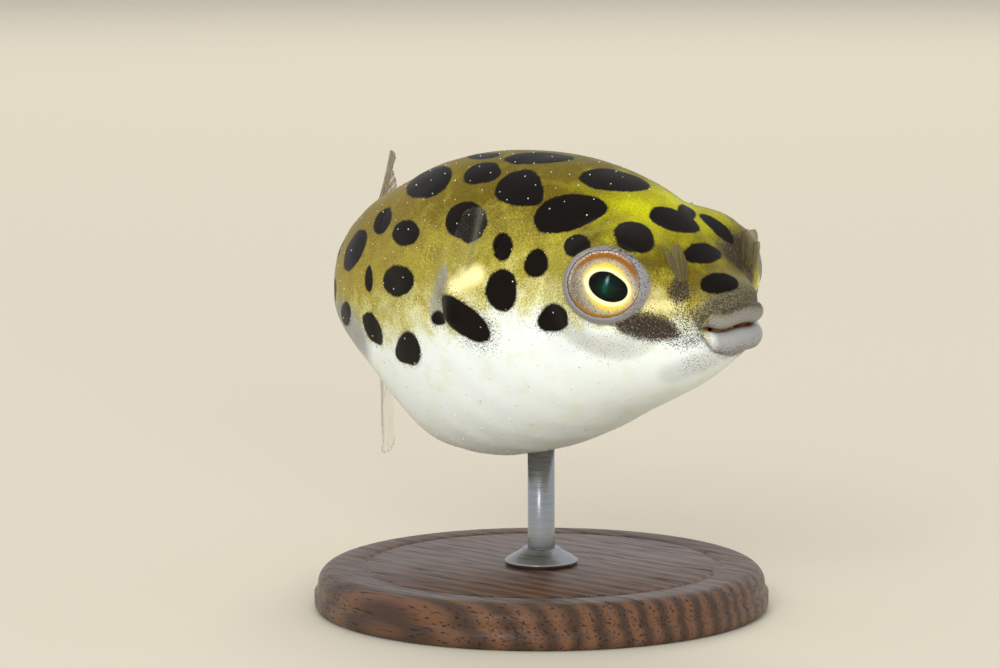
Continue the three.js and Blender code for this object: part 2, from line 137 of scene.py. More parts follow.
# Dark spots: station mm, girth degrees, half length, half breadth, tilt from the spine, taper.
SPOTS = (
    (9.9, 6, 2.4, 1.7, 44, 0), (16.3, 8, 2.6, 1.3, 16, 0), (21.4, 9, 1.7, 0.7, -10, 0),
    (27.8, -6, 1.9, 1.1, 0, 0), (5.3, 3.5, 1.95, 1.3, 60, 0), (5.8, -13, 1.4, 0.7, -50, 0),
    (3.0, 6.5, 1.65, 0.9, 82, 0), (1.2, 24, 1.4, 0.85, 68, 0),
    # right flank
    (25.1, 27, 3.1, 1.6, -20, 0), (19.4, 26, 1.75, 1.15, -10, 0.2), (15.0, 34, 2.3, 1.5, -22, 0.4),
    (10.6, 41, 2.6, 1.55, 25, 0.1), (5.7, 35.5, 1.75, 1.4, -48, 0), (9.0, 57, 1.5, 0.85, -8, 0),
    (18.9, 51.5, 2.15, 1.35, -12, 0), (17.8, 57, 0.95, 0.75, 0, 0), (14.9, 62, 1.05, 0.78, -63, 0),
    (12.0, 68.5, 1.0, 0.92, -52, 0),
    (14.6, 79.5, 1.45, 1.2, 79, 0), (10.5, 92.5, 1.5, 1.0, 5, 0), (25.4, 55, 1.9, 0.95, -10, 0),
    (29.2, 44, 1.4, 1.05, -20, 0), (32.1, 56, 2.2, 1.4, 16, 0), (25.7, 74.5, 2.2, 1.1, -3, 0),
    (29.8, 72, 0.95, 0.6, -85, 0), (29.6, 95, 1.55, 1.05, -25, 0), (25.2, 101.5, 1.9, 1.1, 18, -0.3),
    (18.0, 89, 2.3, 1.3, -38, 0.15), (20.9, 88.5, 0.85, 0.55, 4, 0),
    (33.0, 90, 1.5, 0.85, 17, 0), (37.6, 46, 2.0, 1.0, -8, 0), (36.6, 80, 1.6, 0.9, 8, 0),
    (41.6, 66, 1.8, 1.0, 0, 0), (43.4, 30, 1.9, 0.9, 10, 0), (47.6, 56, 1.9, 0.9, -5, 0),
    (52.0, 34, 1.5, 0.8, 8, 0), (52.4, 84, 1.3, 0.7, 0, 0),
    # left flank, freely varied
    (4.7, -27, 1.5, 0.8, 33, 0), (10.4, -38, 2.3, 1.5, -20, 0), (8.9, -60, 1.3, 0.9, 10, 0),
    (14.2, -30, 1.9, 1.3, 15, 0.2), (13.6, -56, 1.4, 1.0, 30, 0), (11.6, -76, 1.1, 0.9, 0, 0),
    (15.0, -82, 1.3, 1.1, -60, 0), (10.4, -95, 1.4, 1.0, -8, 0), (18.6, -20, 1.5, 1.0, 8, 0),
    (18.9, -47, 2.2, 1.4, 20, 0), (23.4, -30, 2.5, 1.5, 10, 0), (22.6, -62, 1.2, 0.9, 0, 0),
    (25.4, -80, 2.0, 1.2, 5, 0), (27.6, -54, 1.6, 1.2, 25, 0), (29.6, -33, 1.7, 1.0, 15, 0),
    (19.2, -92, 1.9, 1.1, -12, 0), (24.6, -104, 1.7, 1.0, -15, 0), (29.8, -95, 1.6, 0.9, -10, 0),
    (32.0, -70, 2.0, 1.1, 0, 0), (34.4, -38, 1.8, 1.0, 12, 0), (38.5, -62, 2.0, 1.1, 5, 0),
    (41.0, -30, 1.7, 0.9, -10, 0), (44.4, -78, 1.5, 0.8, 0, 0), (47.6, -46, 1.9, 0.9, 8, 0),
    (52.0, -66, 1.4, 0.8, 0, 0), (34.5, -94, 1.2, 0.8, 0, 0),
)
# Patches of scattered pigment cells: station, girth, half length, half breadth, tilt, density.
SMUDGES = (
    (4.5, 104, 2.6, 1.1, -15, 0.95), (2.85, 67.5, 0.95, 0.85, 88, 0.85), (6.6, 113, 2.8, 1.5, 0, 0.12),
    (9.0, 102, 1.8, 1.4, 0, 0.1), (2.2, 96, 1.6, 1.1, -30, 0.5), (21.6, 64.5, 0.9, 0.6, 0, 0.35),
    (12.4, 92, 1.6, 1.0, 0, 0.1), (4.0, 58, 1.7, 1.1, 0, 0.2), (1.2, 60, 1.4, 1.2, 0, 0.2),
    # The patch at station 3.4, girth -44, over the left eye's brow, is painted shade drawn as dense pigment
    # cells.
    (3.0, 111, 1.7, 1.1, -20, 0.55), (2.9, 146, 1.3, 0.9, 0, 0.25), (3.4, -44, 2.4, 1.7, -20, 0.85),
    (4.4, -104, 2.4, 1.1, 18, 0.95), (3.0, -68, 0.9, 0.8, 80, 0.85), (6.6, -113, 2.8, 1.5, 0, 0.12),
    (9.0, -102, 1.8, 1.4, 0, 0.1), (2.4, -98, 1.5, 1.0, 30, 0.5), (22.0, -72, 0.9, 0.7, 0, 0.35),
    (18.0, 89, 2.75, 1.6, -38, 0.6),
)
# Pale gold patches on each side: the first on each side is a painted highlight on the side fin's muscle, the
# others are cream patches on the cheek. From and to (station, girth), width in mm, strength.
SHEEN_AND_CREAM = {
    -1: (
        ((16.4, 72.2), (18.2, 76.8), 1.05, 0.9), ((2.9, 85), (4.6, 88), 0.85, 0.7),
        ((3.6, 77), (4.6, 79), 0.9, 0.4),
    ),
    1: (((16.4, 72.2), (18.2, 76.8), 1.05, 0.9), ((4.0, 89), (5.0, 90), 0.7, 0.6)),
}
# Painted bluish shade: in the hollow behind the side fin's muscle, on the tail's stalk, under the chin and on
# the cheek, listed in the same way.
PAINTED_BLUISH_SHADE = (
    ((19.7, 73.0), (21.1, 84), 1.2, 0.7), ((33.2, 90), (34.6, 100), 1.6, 0.8),
    ((31.6, 104), (37.0, 110), 2.6, 0.8), ((2.4, 150), (4.6, 146), 1.4, 0.3),
    ((8.4, 101), (10.4, 104), 1.8, 0.12),
)
# Ridges and grooves on each side: from and to (station, girth), rise and half width in mm.
RELIEF = (
    ((14.6, 54), (15.5, 71), 0.16, 0.4),  # gill cover
    (PECTORAL["upper"], PECTORAL["lower"], 0.4, 0.7),  # seat of the side fin
    ((1.9, 120), (1.6, 178), -0.12, 0.22),  # under the lower lip
    ((2.6, 84), (2.9, 108), -0.1, 0.25),  # behind the corner of the mouth
)
GILL_SLIT = {"from": (15.0, 55), "to": (16.0, 70), "depth": 0.45, "half_width": 0.16}
VENT = {"station": 34.4, "rise": 0.35, "radius": 0.6, "depth": 0.5, "hole": 0.2}


def linear(code):
    """Linear RGBA of an sRGB hex colour."""
    channels = (int(code[i : i + 2], 16) / 255 for i in (1, 3, 5))
    return (*(c / 12.92 if c <= 0.04045 else ((c + 0.055) / 1.055) ** 2.4 for c in channels), 1.0)


# ------------------------------------------------------------------ settings a user would change


def colour(name, description, code):
    """A colour setting whose default is an sRGB hex value."""
    return FloatVectorProperty(
        name=name, description=description, subtype="COLOR", size=4, min=0, max=1, default=linear(code)
    )


def length(name, description, millimetres):
    """A length setting whose default is given in millimetres."""
    return FloatProperty(
        name=name, description=description, unit="LENGTH", min=0, default=millimetres * MM, precision=5
    )


def number(name, description, default, kind=FloatProperty, **facts):
    """A plain setting."""
    return kind(name=name, description=description, default=default, **facts)


class PufferSkinSettings(bpy.types.PropertyGroup):
    """Colours of the skin, and its prickles."""

    back: colour("Back", "Top of the trunk and tail", "#6f6118")
    flank: colour("Flank", "Upper side of the body", "#aea443")
    cream: colour("Cream", "Fades between flank and belly", "#d9d694")
    belly: colour("Belly", "Underside", "#e9efeb")
    forehead: colour("Forehead", "Bright top of the head", "#c6c612")
    spot: colour("Spot", "Dark spots", "#130e0a")
    pigment: colour("Pigment", "Scattered dark pigment cells", "#3b312b")
    eyelid: colour("Eyelid", "Ring of skin round the eye", "#8e8c90")
    lip: colour("Lip", "Lips", "#8c8a86")
    snout: colour("Snout", "Greenish grey snout above the lip", "#7d7d62")
    gape: colour("Gape", "Inside of the mouth", "#a4622f")
    prickle_gap: length("Prickle gap", "Distance between the skin's prickles", 1.75)
    prickle_height: length("Prickle height", "How far a prickle stands out", 0.1)


class PufferEyeSettings(bpy.types.PropertyGroup):
    """Colours and sizes of the eyes."""

    iris_inner: colour("Inner iris", "Bright ring round the pupil", "#fff6bc")
    iris_middle: colour("Middle iris", "Speckled middle of the iris", "#7d7263")
    iris_edge: colour("Iris edge", "Brown arc over the pupil", "#8a5503")
    glint: colour("Pupil glint", "Green sheen deep in the pupil", "#0c4a36")
    pupil_length: length("Pupil length", "Along the body", 2.95)
    pupil_height: length("Pupil height", "Up and down", 1.9)


class PufferFinSettings(bpy.types.PropertyGroup):
    """Colours and rays of the fins."""

    ray: colour("Ray", "Fin rays", "#b3aa88")
    membrane: colour("Membrane", "Clear skin between the rays", "#bdb8a0")
    clearness: number("Clearness", "How clear the membrane is", 0.94, subtype="FACTOR", min=0, max=1)
    pectoral_rays: number("Pectoral rays", "Rays in each side fin", 15, IntProperty, min=4)
    midline_rays: number("Midline rays", "Rays in the back and anal fin", 12, IntProperty, min=4)
    tail_rays: number("Tail rays", "Rays in the tail fin", 10, IntProperty, min=4)


class PufferStandSettings(bpy.types.PropertyGroup):
    """Colours of the stand."""

    wood: colour("Wood", "Light figure of the walnut", "#65432b")
    wood_dark: colour("Dark wood", "Dark figure of the walnut", "#3e2819")
    steel: colour("Steel", "Rod and flange", "#b9bcc0")


class PufferStageSettings(bpy.types.PropertyGroup):
    """Camera, floor and lights."""

    azimuth: number("Azimuth", "0 looks along +Y", math.radians(41.5), subtype="ANGLE")
    elevation: number("Elevation", "Camera above the horizon", math.radians(6.0), subtype="ANGLE")
    distance: length("Distance", "From the camera to the near eye", 230)
    focal_length: number("Focal length", "In millimetres, on a 36 mm sensor", 125.9, min=1)
    floor: colour("Floor", "Plain floor", "#d3cbb8")
    key_power: number("Key light", "Power in watts", 11.0, min=0)
    fill_power: number("Fill lights", "Power in watts", 9.0, min=0)
    flash_power: number("Flash", "Power in watts", 0.16, min=0)
    sky: number("Sky light", "Strength of the even light", 0.8, min=0)


# ------------------------------------------------------------------ curves and the body's skin


def outline(knots, scale=1.0):
    """Smooth curve through knots, as a function of arrays."""
    x, y = np.array(knots, dtype=float).T * scale
    gap = np.diff(x)
    chord = np.diff(y) / gap
    inner = (gap[1:] * chord[:-1] + gap[:-1] * chord[1:]) / (gap[:-1] + gap[1:])
    slope = np.concatenate([chord[:1], inner, chord[-1:]])

    def value(at):
        at = np.clip(at, x[0], x[-1])
        i = np.clip(np.searchsorted(x, at) - 1, 0, len(x) - 2)
        t = (at - x[i]) / gap[i]
        ease = t * t * (3 - 2 * t)
        curve = gap[i] * t * (1 - t) * ((1 - t) * slope[i] - t * slope[i + 1])
        return y[i] * (1 - ease) + y[i + 1] * ease + curve

    return value


PERCENT = STANDARD_LENGTH / 100
back_height = outline(BACK_LINE, PERCENT)
belly_height = outline(BELLY_LINE, PERCENT)
half_width = outline(FLANK_LINE, PERCENT)
widest_height = outline(WIDEST_LINE, PERCENT)
white_girth = outline(WHITE_LINE)


def smooth(value, start, end):
    """Smooth step of an array, from 0 at start to 1 at end."""
    t = np.clip((value - start) / (end - start), 0, 1)
    return t * t * (3 - 2 * t)


def unit(vectors):
    """Vectors scaled to length 1."""
    return vectors / np.maximum(np.linalg.norm(vectors, axis=-1, keepdims=True), 1e-9)


def spine(station):
    """Place on the spine, with the unit vectors towards the tail and towards the fish's left."""
    station = np.asarray(station, dtype=float)
    full = math.radians(BEND["angle"])
    radius = BEND["length"] / full
    turn = np.clip((station - BEND["start"]) / radius, 0, full)
    before = np.minimum(station, BEND["start"])
    after = np.maximum(station - BEND["start"] - BEND["length"], 0)
    level = np.zeros_like(station)
    aft = np.stack([-np.cos(turn), np.sin(turn), level], -1)
    port = np.stack([np.sin(turn), np.cos(turn), level], -1)
    at = np.stack([-before - radius * np.sin(turn), radius * (1 - np.cos(turn)), level], -1)
    return at + aft * after[..., None], aft, port


def eye_frame(side):
    """Centre of one eye, and its axes: outward, forward along the head, and up."""
    centre = np.array([-EYE["station"], side * EYE["offset"], EYE["height"]])
    forward, up = math.radians(EYE["turn_forward"]), math.radians(EYE["turn_up"])
    outward = np.array([
        math.sin(forward) * math.cos(up),
        side * math.cos(forward) * math.cos(up),
        math.sin(up),
    ])
    ahead = unit(np.array([1.0, 0.0, 0.0]) - outward * outward[0])
    return centre, outward, ahead, np.cross(outward, ahead) * side * -1


def raise_orbit(points, side):
    """Swells the head round the eye, so that a ring of skin holds the eyeball."""
    centre, outward, _, _ = eye_frame(side)
    away = points - centre
    level = away @ outward
    reach = np.linalg.norm(away - level[..., None] * outward, axis=-1)
    near = 1 - smooth(reach, EYE["rim_radius"], EYE["mound"])
    same_side = smooth(level / EYE["radius"], -1.6, -0.7)
    lift = np.maximum(0, EYE["rim_height"] - level) * near * same_side
    return points + lift[..., None] * outward


def bare_skin(station, girth):
    """Plain section of the body."""
    at, _, port = spine(station)
    up, across = np.cos(girth), np.sin(girth)
    middle = widest_height(station)
    reach = np.where(up > 0, back_height(station) - middle, middle - belly_height(station))
    lateral = half_width(station) * np.sign(across) * np.abs(across) ** FLANK_ROUNDNESS
    points = at - port * lateral[..., None]
    points[..., 2] = middle + up * reach
    return points


def on_side(side, place):
    """Station and girth, as arrays, of a place given as (station, degrees) on one side."""
    return np.array([place[0]]), np.radians([-side * place[1]])


MUSCLE_SEAT = {side: bare_skin(*on_side(side, PECTORAL["muscle"]))[0] for side in (-1, 1)}


def skin(station, girth):
    """The body's surface, as in the solids."""
    points = bare_skin(np.asarray(station, dtype=float), np.asarray(girth, dtype=float))
    for side in (-1, 1):
        points = raise_orbit(points, side)
        gap = np.linalg.norm(points - MUSCLE_SEAT[side], axis=-1)
        near = 1 - smooth(gap, 0.2 * PECTORAL["reach"], PECTORAL["reach"])
        points[..., 1] += side * PECTORAL["lift"] * near
    return points


def skin_axes(station, girth):
    """Unit vectors of the skin: towards the tail, round the girth, and outward."""
    small = 0.02
    aft = unit(skin(station + small, girth) - skin(station - small, girth))
    turn = skin(station, girth + small) - skin(station, girth - small)
    turn = unit(turn - aft * np.sum(aft * turn, -1, keepdims=True))
    return aft, turn, np.cross(turn, aft)


def lean_matrix():
    """From the fish's own frame, in mm, to the row frame, in metres."""
    turn = Euler((math.radians(POSE["bank"]), 0, 0)).to_matrix()
    turn = Euler((0, -math.radians(POSE["nose_up"]), 0)).to_matrix() @ turn
    low = turn @ Vector(skin(*on_side(1, (STAND["under_station"], 180)))[0])
    move = Vector((-low.x, -low.y, STAND["belly_height"] - low.z))
    return Matrix.Scale(MM, 4) @ Matrix.Translation(move) @ turn.to_4x4()


FISH = np.array(lean_matrix())


def to_row(points):
    """Points of the fish's own frame, placed in the row frame in metres."""
    flat = np.asarray(points).reshape(-1, 3)
    return flat @ FISH[:3, :3].T + FISH[:3, 3]


# ------------------------------------------------------------------ mesh helpers


def grid_faces(rows, columns, closed):
    """Quads of a grid of points. A closed grid joins its last column to its first."""
    i = np.arange(rows - 1)[:, None] * columns
    j = np.arange(columns if closed else columns - 1)[None, :]
    after = (j + 1) % columns
    return np.stack([i + j, i + after, i + columns + after, i + columns + j], -1).reshape(-1, 4)


def capped(rows, steps):
    """Faces of a grid of rings with its first and last ring filled."""
    last = (rows - 1) * steps
    return [*grid_faces(rows, steps, True), range(steps), range(last + steps - 1, last - 1, -1)]


def read_mesh(values, attribute, width=1, kind=np.int32):
    """Rows of one attribute of a mesh's points, corners or triangles."""
    flat = np.empty(len(values) * width, dtype=kind)
    values.foreach_get(attribute, flat)
    return flat.reshape(-1, width) if width > 1 else flat


def make_piece(name, points, faces, material, node_names=(), slot=None, fields=None):
    """Makes a smooth piece from points in metres, with named values per point, and ties it to the frame."""
    mesh = bpy.data.meshes.new(name)
    mesh.from_pydata(np.asarray(points).tolist(), [], [list(map(int, face)) for face in faces])
    mesh.shade_smooth()
    for field, values in (fields or {}).items():
        layer = mesh.attributes.new(field, "FLOAT", "POINT")
        layer.data.foreach_set("value", np.ravel(values).astype(np.float32))
    piece = bpy.data.objects.new(name, mesh)
    bpy.context.scene.collection.objects.link(piece)
    mesh.materials.append(material)
    outward_faces(mesh)
    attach(piece, "root")
    if node_names:
        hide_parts(*node_names)
    return piece


def outward_faces(mesh):
    """Turns a closed mesh the right way out if its volume is negative."""
    mesh.calc_loop_triangles()
    places = read_mesh(mesh.vertices, "co", 3, float)
    a, b, c = np.moveaxis(places[read_mesh(mesh.loop_triangles, "vertices", 3)], 1, 0)
    if np.einsum("ij,ij->i", a, np.cross(b, c)).sum() < 0:
        mesh.flip_normals()


def lathe(name, profile, steps, material, **facts):
    """Piece turned about the stand's upright axis, from profile points (radius, level) in mm."""
    turn = np.linspace(0, 2 * math.pi, steps, endpoint=False)
    rings = [np.stack([r * np.cos(turn), r * np.sin(turn), 0 * turn + level], -1) for r, level in profile]
    return make_piece(name, np.concatenate(rings) * MM, capped(len(profile), steps), material, **facts)


# ------------------------------------------------------------------ materials


def find_socket(sockets, key):
    """The first socket with this name or identifier."""
    return next(socket for socket in sockets if key in (socket.identifier, socket.name))


def add_node(tree, kind, sockets=(), stops=(), **settings):
    """Adds a shader node with its settings, its sockets' values or links, and a ramp's colour stops.

    Sockets are given by name, or listed in the node's own order. A value is a plain value, an sRGB hex
    colour, another node, whose main output is linked, or (node, output).
    """
    node = tree.nodes.new(f"ShaderNode{kind}")
    for key, value in settings.items():
        setattr(node, key, value)
    for key, value in sockets.items() if isinstance(sockets, dict) else enumerate(sockets):
        target = node.inputs[key] if isinstance(key, int) else find_socket(node.inputs, key)
        if isinstance(value, bpy.types.Node):
            mixed = value.bl_idname == "ShaderNodeMix"
            value = (value, "Result_Color" if mixed else value.outputs[0].identifier)
        if isinstance(value, tuple) and isinstance(value[0], bpy.types.Node):
            tree.links.new(find_socket(value[0].outputs, value[1]), target)
        else:
            target.default_value = linear(value) if isinstance(value, str) else value
    while stops and len(node.color_ramp.elements) < len(stops):
        node.color_ramp.elements.new(0.5)
    for element, (place, tint) in zip(node.color_ramp.elements if stops else (), stops):
        element.position = place
        element.color = linear(tint) if isinstance(tint, str) else tint
    return node


def new_material(name, build, *facts):
    """A node material. build adds its nodes and returns the one that shades the surface."""
    material = bpy.data.materials.new(name)
    material.use_nodes = True
    material.node_tree.nodes.clear()
    add = functools.partial(add_node, material.node_tree)
    add("OutputMaterial", {"Surface": build(add, *facts)})
    return material


def read_fields(add, *names):
    """The piece's own per-point values, by name."""
    return {name: (add("Attribute", attribute_name=name), "Fac") for name in names}


def lay(add, base, *coats, **settings):
    """Lays colours over a base. Each coat is its share and its colour, the lowest first."""
    for share, tint in coats:
        base = add("Mix", {
            "Factor_Float": share, "A_Color": base, "B_Color": tint,
        }, data_type="RGBA", **settings)
    return base


def fish_skin(add, look):
    """Scaleless fish skin under a film of slime: pigment cells over white tissue, with a wet satin gloss."""
    place = (add("TexCoord"), "Object")
    field = read_fields(
        add, "down", "forehead", "rear", "spot", "stipple", "bluish", "lip", "snout", "gape", "sheen_and_cream",
    )
    # Pigment gathers in clouds about 1.4 mm across, made of cells about 0.1 mm across.
    cloud = add("TexNoise", {"Vector": place, "Scale": 1 / (1.4 * MM), "Detail": 3.0})
    cells = add("TexNoise", {"Vector": place, "Scale": 1 / (0.1 * MM), "Detail": 2.0})
    cloud_shift = add("MapRange", (cloud, 0.25, 0.75, -0.1, 0.1))
    cell_shift = add("MapRange", (cells, 0.25, 0.75, -0.05, 0.05))
    down = add("Math", (field["down"], cloud_shift), operation="ADD")
    grainy_down = add("Math", (down, cell_shift), operation="ADD")
    # From the olive back, at -1, over the yellow flank to the white belly, at 1.
    base = add("ValToRGB", (add("MapRange", (grainy_down, -1.0, 1.0)),), stops=(
        (0.0, look.back), (0.22, look.back), (0.34, look.flank), (0.37, look.flank), (0.44, look.cream),
        (0.512, look.belly),
    ))
    # The bright crown, broken by the clouds.
    crown = add("MapRange", (cloud, 0.35, 0.65, -0.2, 0.12))
    crown = add("Math", (field["forehead"], crown), operation="ADD", use_clamp=True)
    base = lay(add, base, (crown, look.forehead), (field["rear"], "#a38c36"))
    # Fine brown grain in the yellow. The white below has none.
    grain = lay(add, "#cfc5b2", (add("MapRange", (cells, 0.35, 0.62)), "#ffffff"))
    coloured = add("MapRange", (down, 0.02, -0.14))
    base = lay(add, base, (coloured, grain), blend_type="MULTIPLY")
    # Single pigment cells, 0.065 mm apart. Where they are dense they run together.
    dots = add("TexVoronoi", {"Vector": place, "Scale": 1 / (0.065 * MM)})
    chance = add("SeparateColor", ((dots, "Color"),))
    veil = add("MapRange", (field["stipple"], 0.4, 0.95, 0.0, 0.8))
    kept = add("Math", ((chance, "Red"), field["stipple"]), operation="LESS_THAN")
    dot_size = add("MapRange", (field["stipple"], 0.0, 1.0, 0.5, 0.9))
    inward = add("Math", (dot_size, (dots, "Distance")), operation="SUBTRACT")
    dot = add("Math", (kept, add("MapRange", (inward, 0.0, 0.22))), operation="MULTIPLY")
    # Spots: the distance to their edge in mm, made ragged by the cells and clouds.
    ragged = add("Math", (field["spot"], cell_shift), operation="ADD")
    ragged = add("Math", (ragged, cloud_shift), operation="ADD")
    inside = add("MapRange", (ragged, 0.11, -0.09), interpolation_type="SMOOTHSTEP")
    # Some coats are painted light: the pale gold lays a painted highlight on each side fin's muscle, the
    # bluish grey lays painted shade in hollows, on the tail's stalk, chin, cheek and under the lower lip, and
    # the dark stipple lays painted shade inside the eye rings and over the left brow.
    base = lay(
        add, base, (field["sheen_and_cream"], "#fff2ae"), (field["snout"], look.snout), (field["lip"], look.lip),
        (field["bluish"], look.eyelid), (veil, "#54473c"), (dot, look.pigment), (inside, look.spot),
        (field["gape"], look.gape),
    )
    # The lips are the wettest. Only pigmented skin is pebbled by its cells.
    roughness = add("MapRange", (cells, 0.3, 0.7, 0.32, 0.46))
    wetter = add("Math", (field["lip"], -0.12), operation="MULTIPLY")
    relief = add("Math", (cells, coloured), operation="MULTIPLY")
    return add("BsdfPrincipled", {
        "Base Color": base, "IOR": 1.38, "Specular IOR Level": 0.1,
        "Roughness": add("Math", (roughness, wetter), operation="ADD"),
        "Normal": add("Bump", {"Height": relief, "Strength": 0.3, "Distance": 0.02 * MM}),
        "Subsurface Weight": 0.15, "Subsurface Radius": (1.0, 0.75, 0.55), "Subsurface Scale": 0.4 * MM,
        "Coat Weight": add("MapRange", (field["lip"], 0.0, 1.0, 0.02, 0.3)), "Coat Roughness": 0.15,
    })


def guanine_iris(add, look):
    """Fish iris: layers of guanine crystals that shine like pale gold leaf, with pigment speckles."""
    place = (add("TexCoord"), "Object")
    field = read_fields(add, "ring", "outer", "arc", "ochre", "lemon", "fleck")
    speckle = add("TexNoise", {"Vector": place, "Scale": 1 / (0.1 * MM), "Detail": 2.0})
    cloud = add("TexNoise", {"Vector": place, "Scale": 1 / (0.5 * MM), "Detail": 2.0})
    shift = add("MapRange", (cloud, 0.0, 1.0, -0.05, 0.05))
    radius = add("Math", (field["ring"], shift), operation="ADD")
    base = add("ValToRGB", (radius,), stops=(
        (0.0, look.iris_inner), (0.13, look.iris_inner), (0.22, "#d2c38a"), (0.38, "#b0a58c"),
        (0.75, look.iris_middle),
    ))
    # Brown and white speckles, 0.1 mm across, outside the bright ring.
    outer = add("MapRange", (radius, 0.22, 0.36))
    brown = add("Math", (add("MapRange", (speckle, 0.54, 0.64)), outer), operation="MULTIPLY")
    pale = add("Math", (add("MapRange", (speckle, 0.45, 0.36)), outer), operation="MULTIPLY")
    streak = add("MapRange", (speckle, 0.3, 0.6, 0.8, 1.2))
    band = add("Math", (field["arc"], streak), operation="MULTIPLY", use_clamp=True)
    fleck = add("MapRange", (speckle, 0.5, 0.56))
    fleck = add("Math", (field["fleck"], fleck), operation="MULTIPLY")
    base = lay(
        add, base, (field["lemon"], "#eccf2c"), (add("MapRange", (field["outer"], 0.86, 0.97)), "#5d5048"),
        (brown, "#5f4f44"), (pale, "#a59b86"), (band, look.iris_edge), (field["ochre"], "#9c6f0a"),
        (fleck, "#e9cdbb"),
    )
    bump = add("Bump", {"Height": speckle, "Strength": 0.4, "Distance": 0.02 * MM})
    return add("BsdfPrincipled", {
        "Base Color": base, "Roughness": 0.42, "Specular IOR Level": 0.12, "Normal": bump,
    })


def dark_lens(add, look):
    """Lens seen through the pupil: clear and deep, so near black, with a green sheen and a bluish-white glint
    painted into its colour as reflections.
    """
    field = read_fields(add, "sheen", "streak")
    # Painted reflections: the green sheen, and the glint as a thin pale streak.
    base = lay(add, "#020504", (field["sheen"], look.glint), (field["streak"], "#9fc3cf"))
    return add("BsdfPrincipled", {"Base Color": base, "Roughness": 0.3, "Specular IOR Level": 0.0})


def clear_cornea(add):
    """Cornea: clear wet tissue, seen only by what it mirrors and a faint grey haze at its edge."""
    haze = read_fields(add, "haze")["haze"]
    inside = (add("NewGeometry"), "Backfacing")
    mirror = add("Math", (add("Fresnel", {"IOR": 1.26}), inside), operation="SUBTRACT", use_clamp=True)
    clear = add("BsdfTransparent", {"Color": "#ffffff"})
    milky = add("BsdfDiffuse", {"Color": "#9aa2a4"})
    gloss = add("BsdfGlossy", {"Color": "#ffffff", "Roughness": 0.05})
    return add("MixShader", (mirror, add("MixShader", (haze, clear, milky)), gloss))


def fin_film(add, membrane, tone, clearness):
    """Fin: clear membrane stretched between jointed bony rays. Light passes, and only the rays draw lines."""
    place = (add("TexCoord"), "Object")
    field = read_fields(add, "ray", "reach")
    blotch = add("TexNoise", {"Vector": place, "Scale": 1 / (0.8 * MM), "Detail": 3.0})
    # Joints of the rays, about 0.35 mm apart along the longest ray.
    joints = add("Math", (field["reach"], 130.0), operation="MULTIPLY")
    joints = add("MapRange", (add("Math", (joints,), operation="SINE"), -1.0, 1.0, 0.95, 1.0))
    bony = add("Math", (field["ray"], joints), operation="MULTIPLY")
    veil = 1 - clearness
    milk = add("MapRange", (blotch, 0.3, 0.7, 0.6 * veil, 1.4 * veil))
    dense = add("Math", (bony, 1.7 * veil), operation="MULTIPLY")
    # The fleshy root is solid, and the hem a little denser than the membrane.
    root = add("MapRange", (field["reach"], 0.18, 0.0))
    hem = add("MapRange", (field["reach"], 0.985, 1.0, 0.0, 0.1))
    alpha = add("Math", (milk, dense), operation="ADD")
    alpha = add("Math", (alpha, root), operation="ADD")
    alpha = add("Math", (alpha, hem), operation="ADD", use_clamp=True)
    return add("BsdfPrincipled", {
        "Base Color": lay(add, membrane, (bony, tone)), "Roughness": 0.35, "Specular IOR Level": 0.2,
        "Alpha": alpha,
    })


def bony_spinule(add):
    """Dermal spinules: tiny bone points through wet skin, pale and glossy."""
    tone = add("TexNoise", {"Vector": (add("TexCoord"), "Object"), "Scale": 1 / (0.6 * MM)})
    base = add("ValToRGB", (tone,), stops=((0.35, "#b9b6a4"), (0.65, "#f4f2e6")))
    return add("BsdfPrincipled", {"Base Color": base, "Roughness": 0.25})


def tooth_enamel(add):
    """Beak: fused enamel tooth plates, ivory with blotches of brown stain."""
    place = (add("TexCoord"), "Object")
    stain = add("TexNoise", {"Vector": place, "Scale": 1 / (0.4 * MM), "Detail": 2.0})
    base = add("ValToRGB", (stain,), stops=((0.35, "#b0682c"), (0.6, "#d8a860")))
    return add("BsdfPrincipled", {"Base Color": base, "Roughness": 0.28, "IOR": 1.6})


def oiled_walnut(add, look):
    """Walnut, turned and oiled: straight grain cut across, with open pores and a low satin shine."""
    place = (add("TexCoord"), "Object")
    # Growth rings about 1.6 mm apart run along X, pores are 0.1 mm wide and 3 mm long.
    stretched = add("Mapping", {"Vector": place, "Scale": (0.12, 1.0, 1.0)})
    figure = add("TexNoise", {"Vector": stretched, "Scale": 1 / (2.4 * MM), "Detail": 4.0})
    rings = add("TexWave", {
        "Vector": stretched, "Scale": 1 / (4.5 * MM), "Distortion": 3.0, "Detail": 2.0,
    }, bands_direction="Y")
    mixed = add("Math", ((rings, "Fac"), figure), operation="MULTIPLY")
    base = add("ValToRGB", (mixed,), stops=((0.05, look.wood_dark), (0.5, look.wood)))
    pores = add("Mapping", {"Vector": place, "Scale": (0.04, 1.0, 1.0)})
    pore = add("TexNoise", {"Vector": pores, "Scale": 1 / (0.16 * MM), "Detail": 1.0})
    closed = add("MapRange", (pore, 0.3, 0.42))
    return add("BsdfPrincipled", {
        "Base Color": lay(add, "#1c100a", (closed, base)),
        "Roughness": add("MapRange", (closed, 0.0, 1.0, 0.6, 0.36)),
        "Normal": add("Bump", {"Height": closed, "Strength": 0.5, "Distance": 0.04 * MM}),
    })


def brushed_steel(add, look):
    """Stainless steel, brushed round the rod: fine grit lines that stretch its highlights."""
    # Brush lines about 0.04 mm apart along the rod, drawn at 0.1 mm so that they show.
    squeezed = add("Mapping", {"Vector": (add("TexCoord"), "Object"), "Scale": (0.05, 0.05, 1.0)})
    lines = add("TexNoise", {"Vector": squeezed, "Scale": 1 / (0.1 * MM), "Detail": 2.0})
    return add("BsdfPrincipled", {
        "Base Color": lay(add, "#8e9196", (lines, look.steel)), "Metallic": 1.0,
        "Roughness": add("MapRange", (lines, 0.0, 1.0, 0.18, 0.42)),
        "Normal": add("Bump", {"Height": lines, "Strength": 0.2, "Distance": 0.01 * MM}),
    })


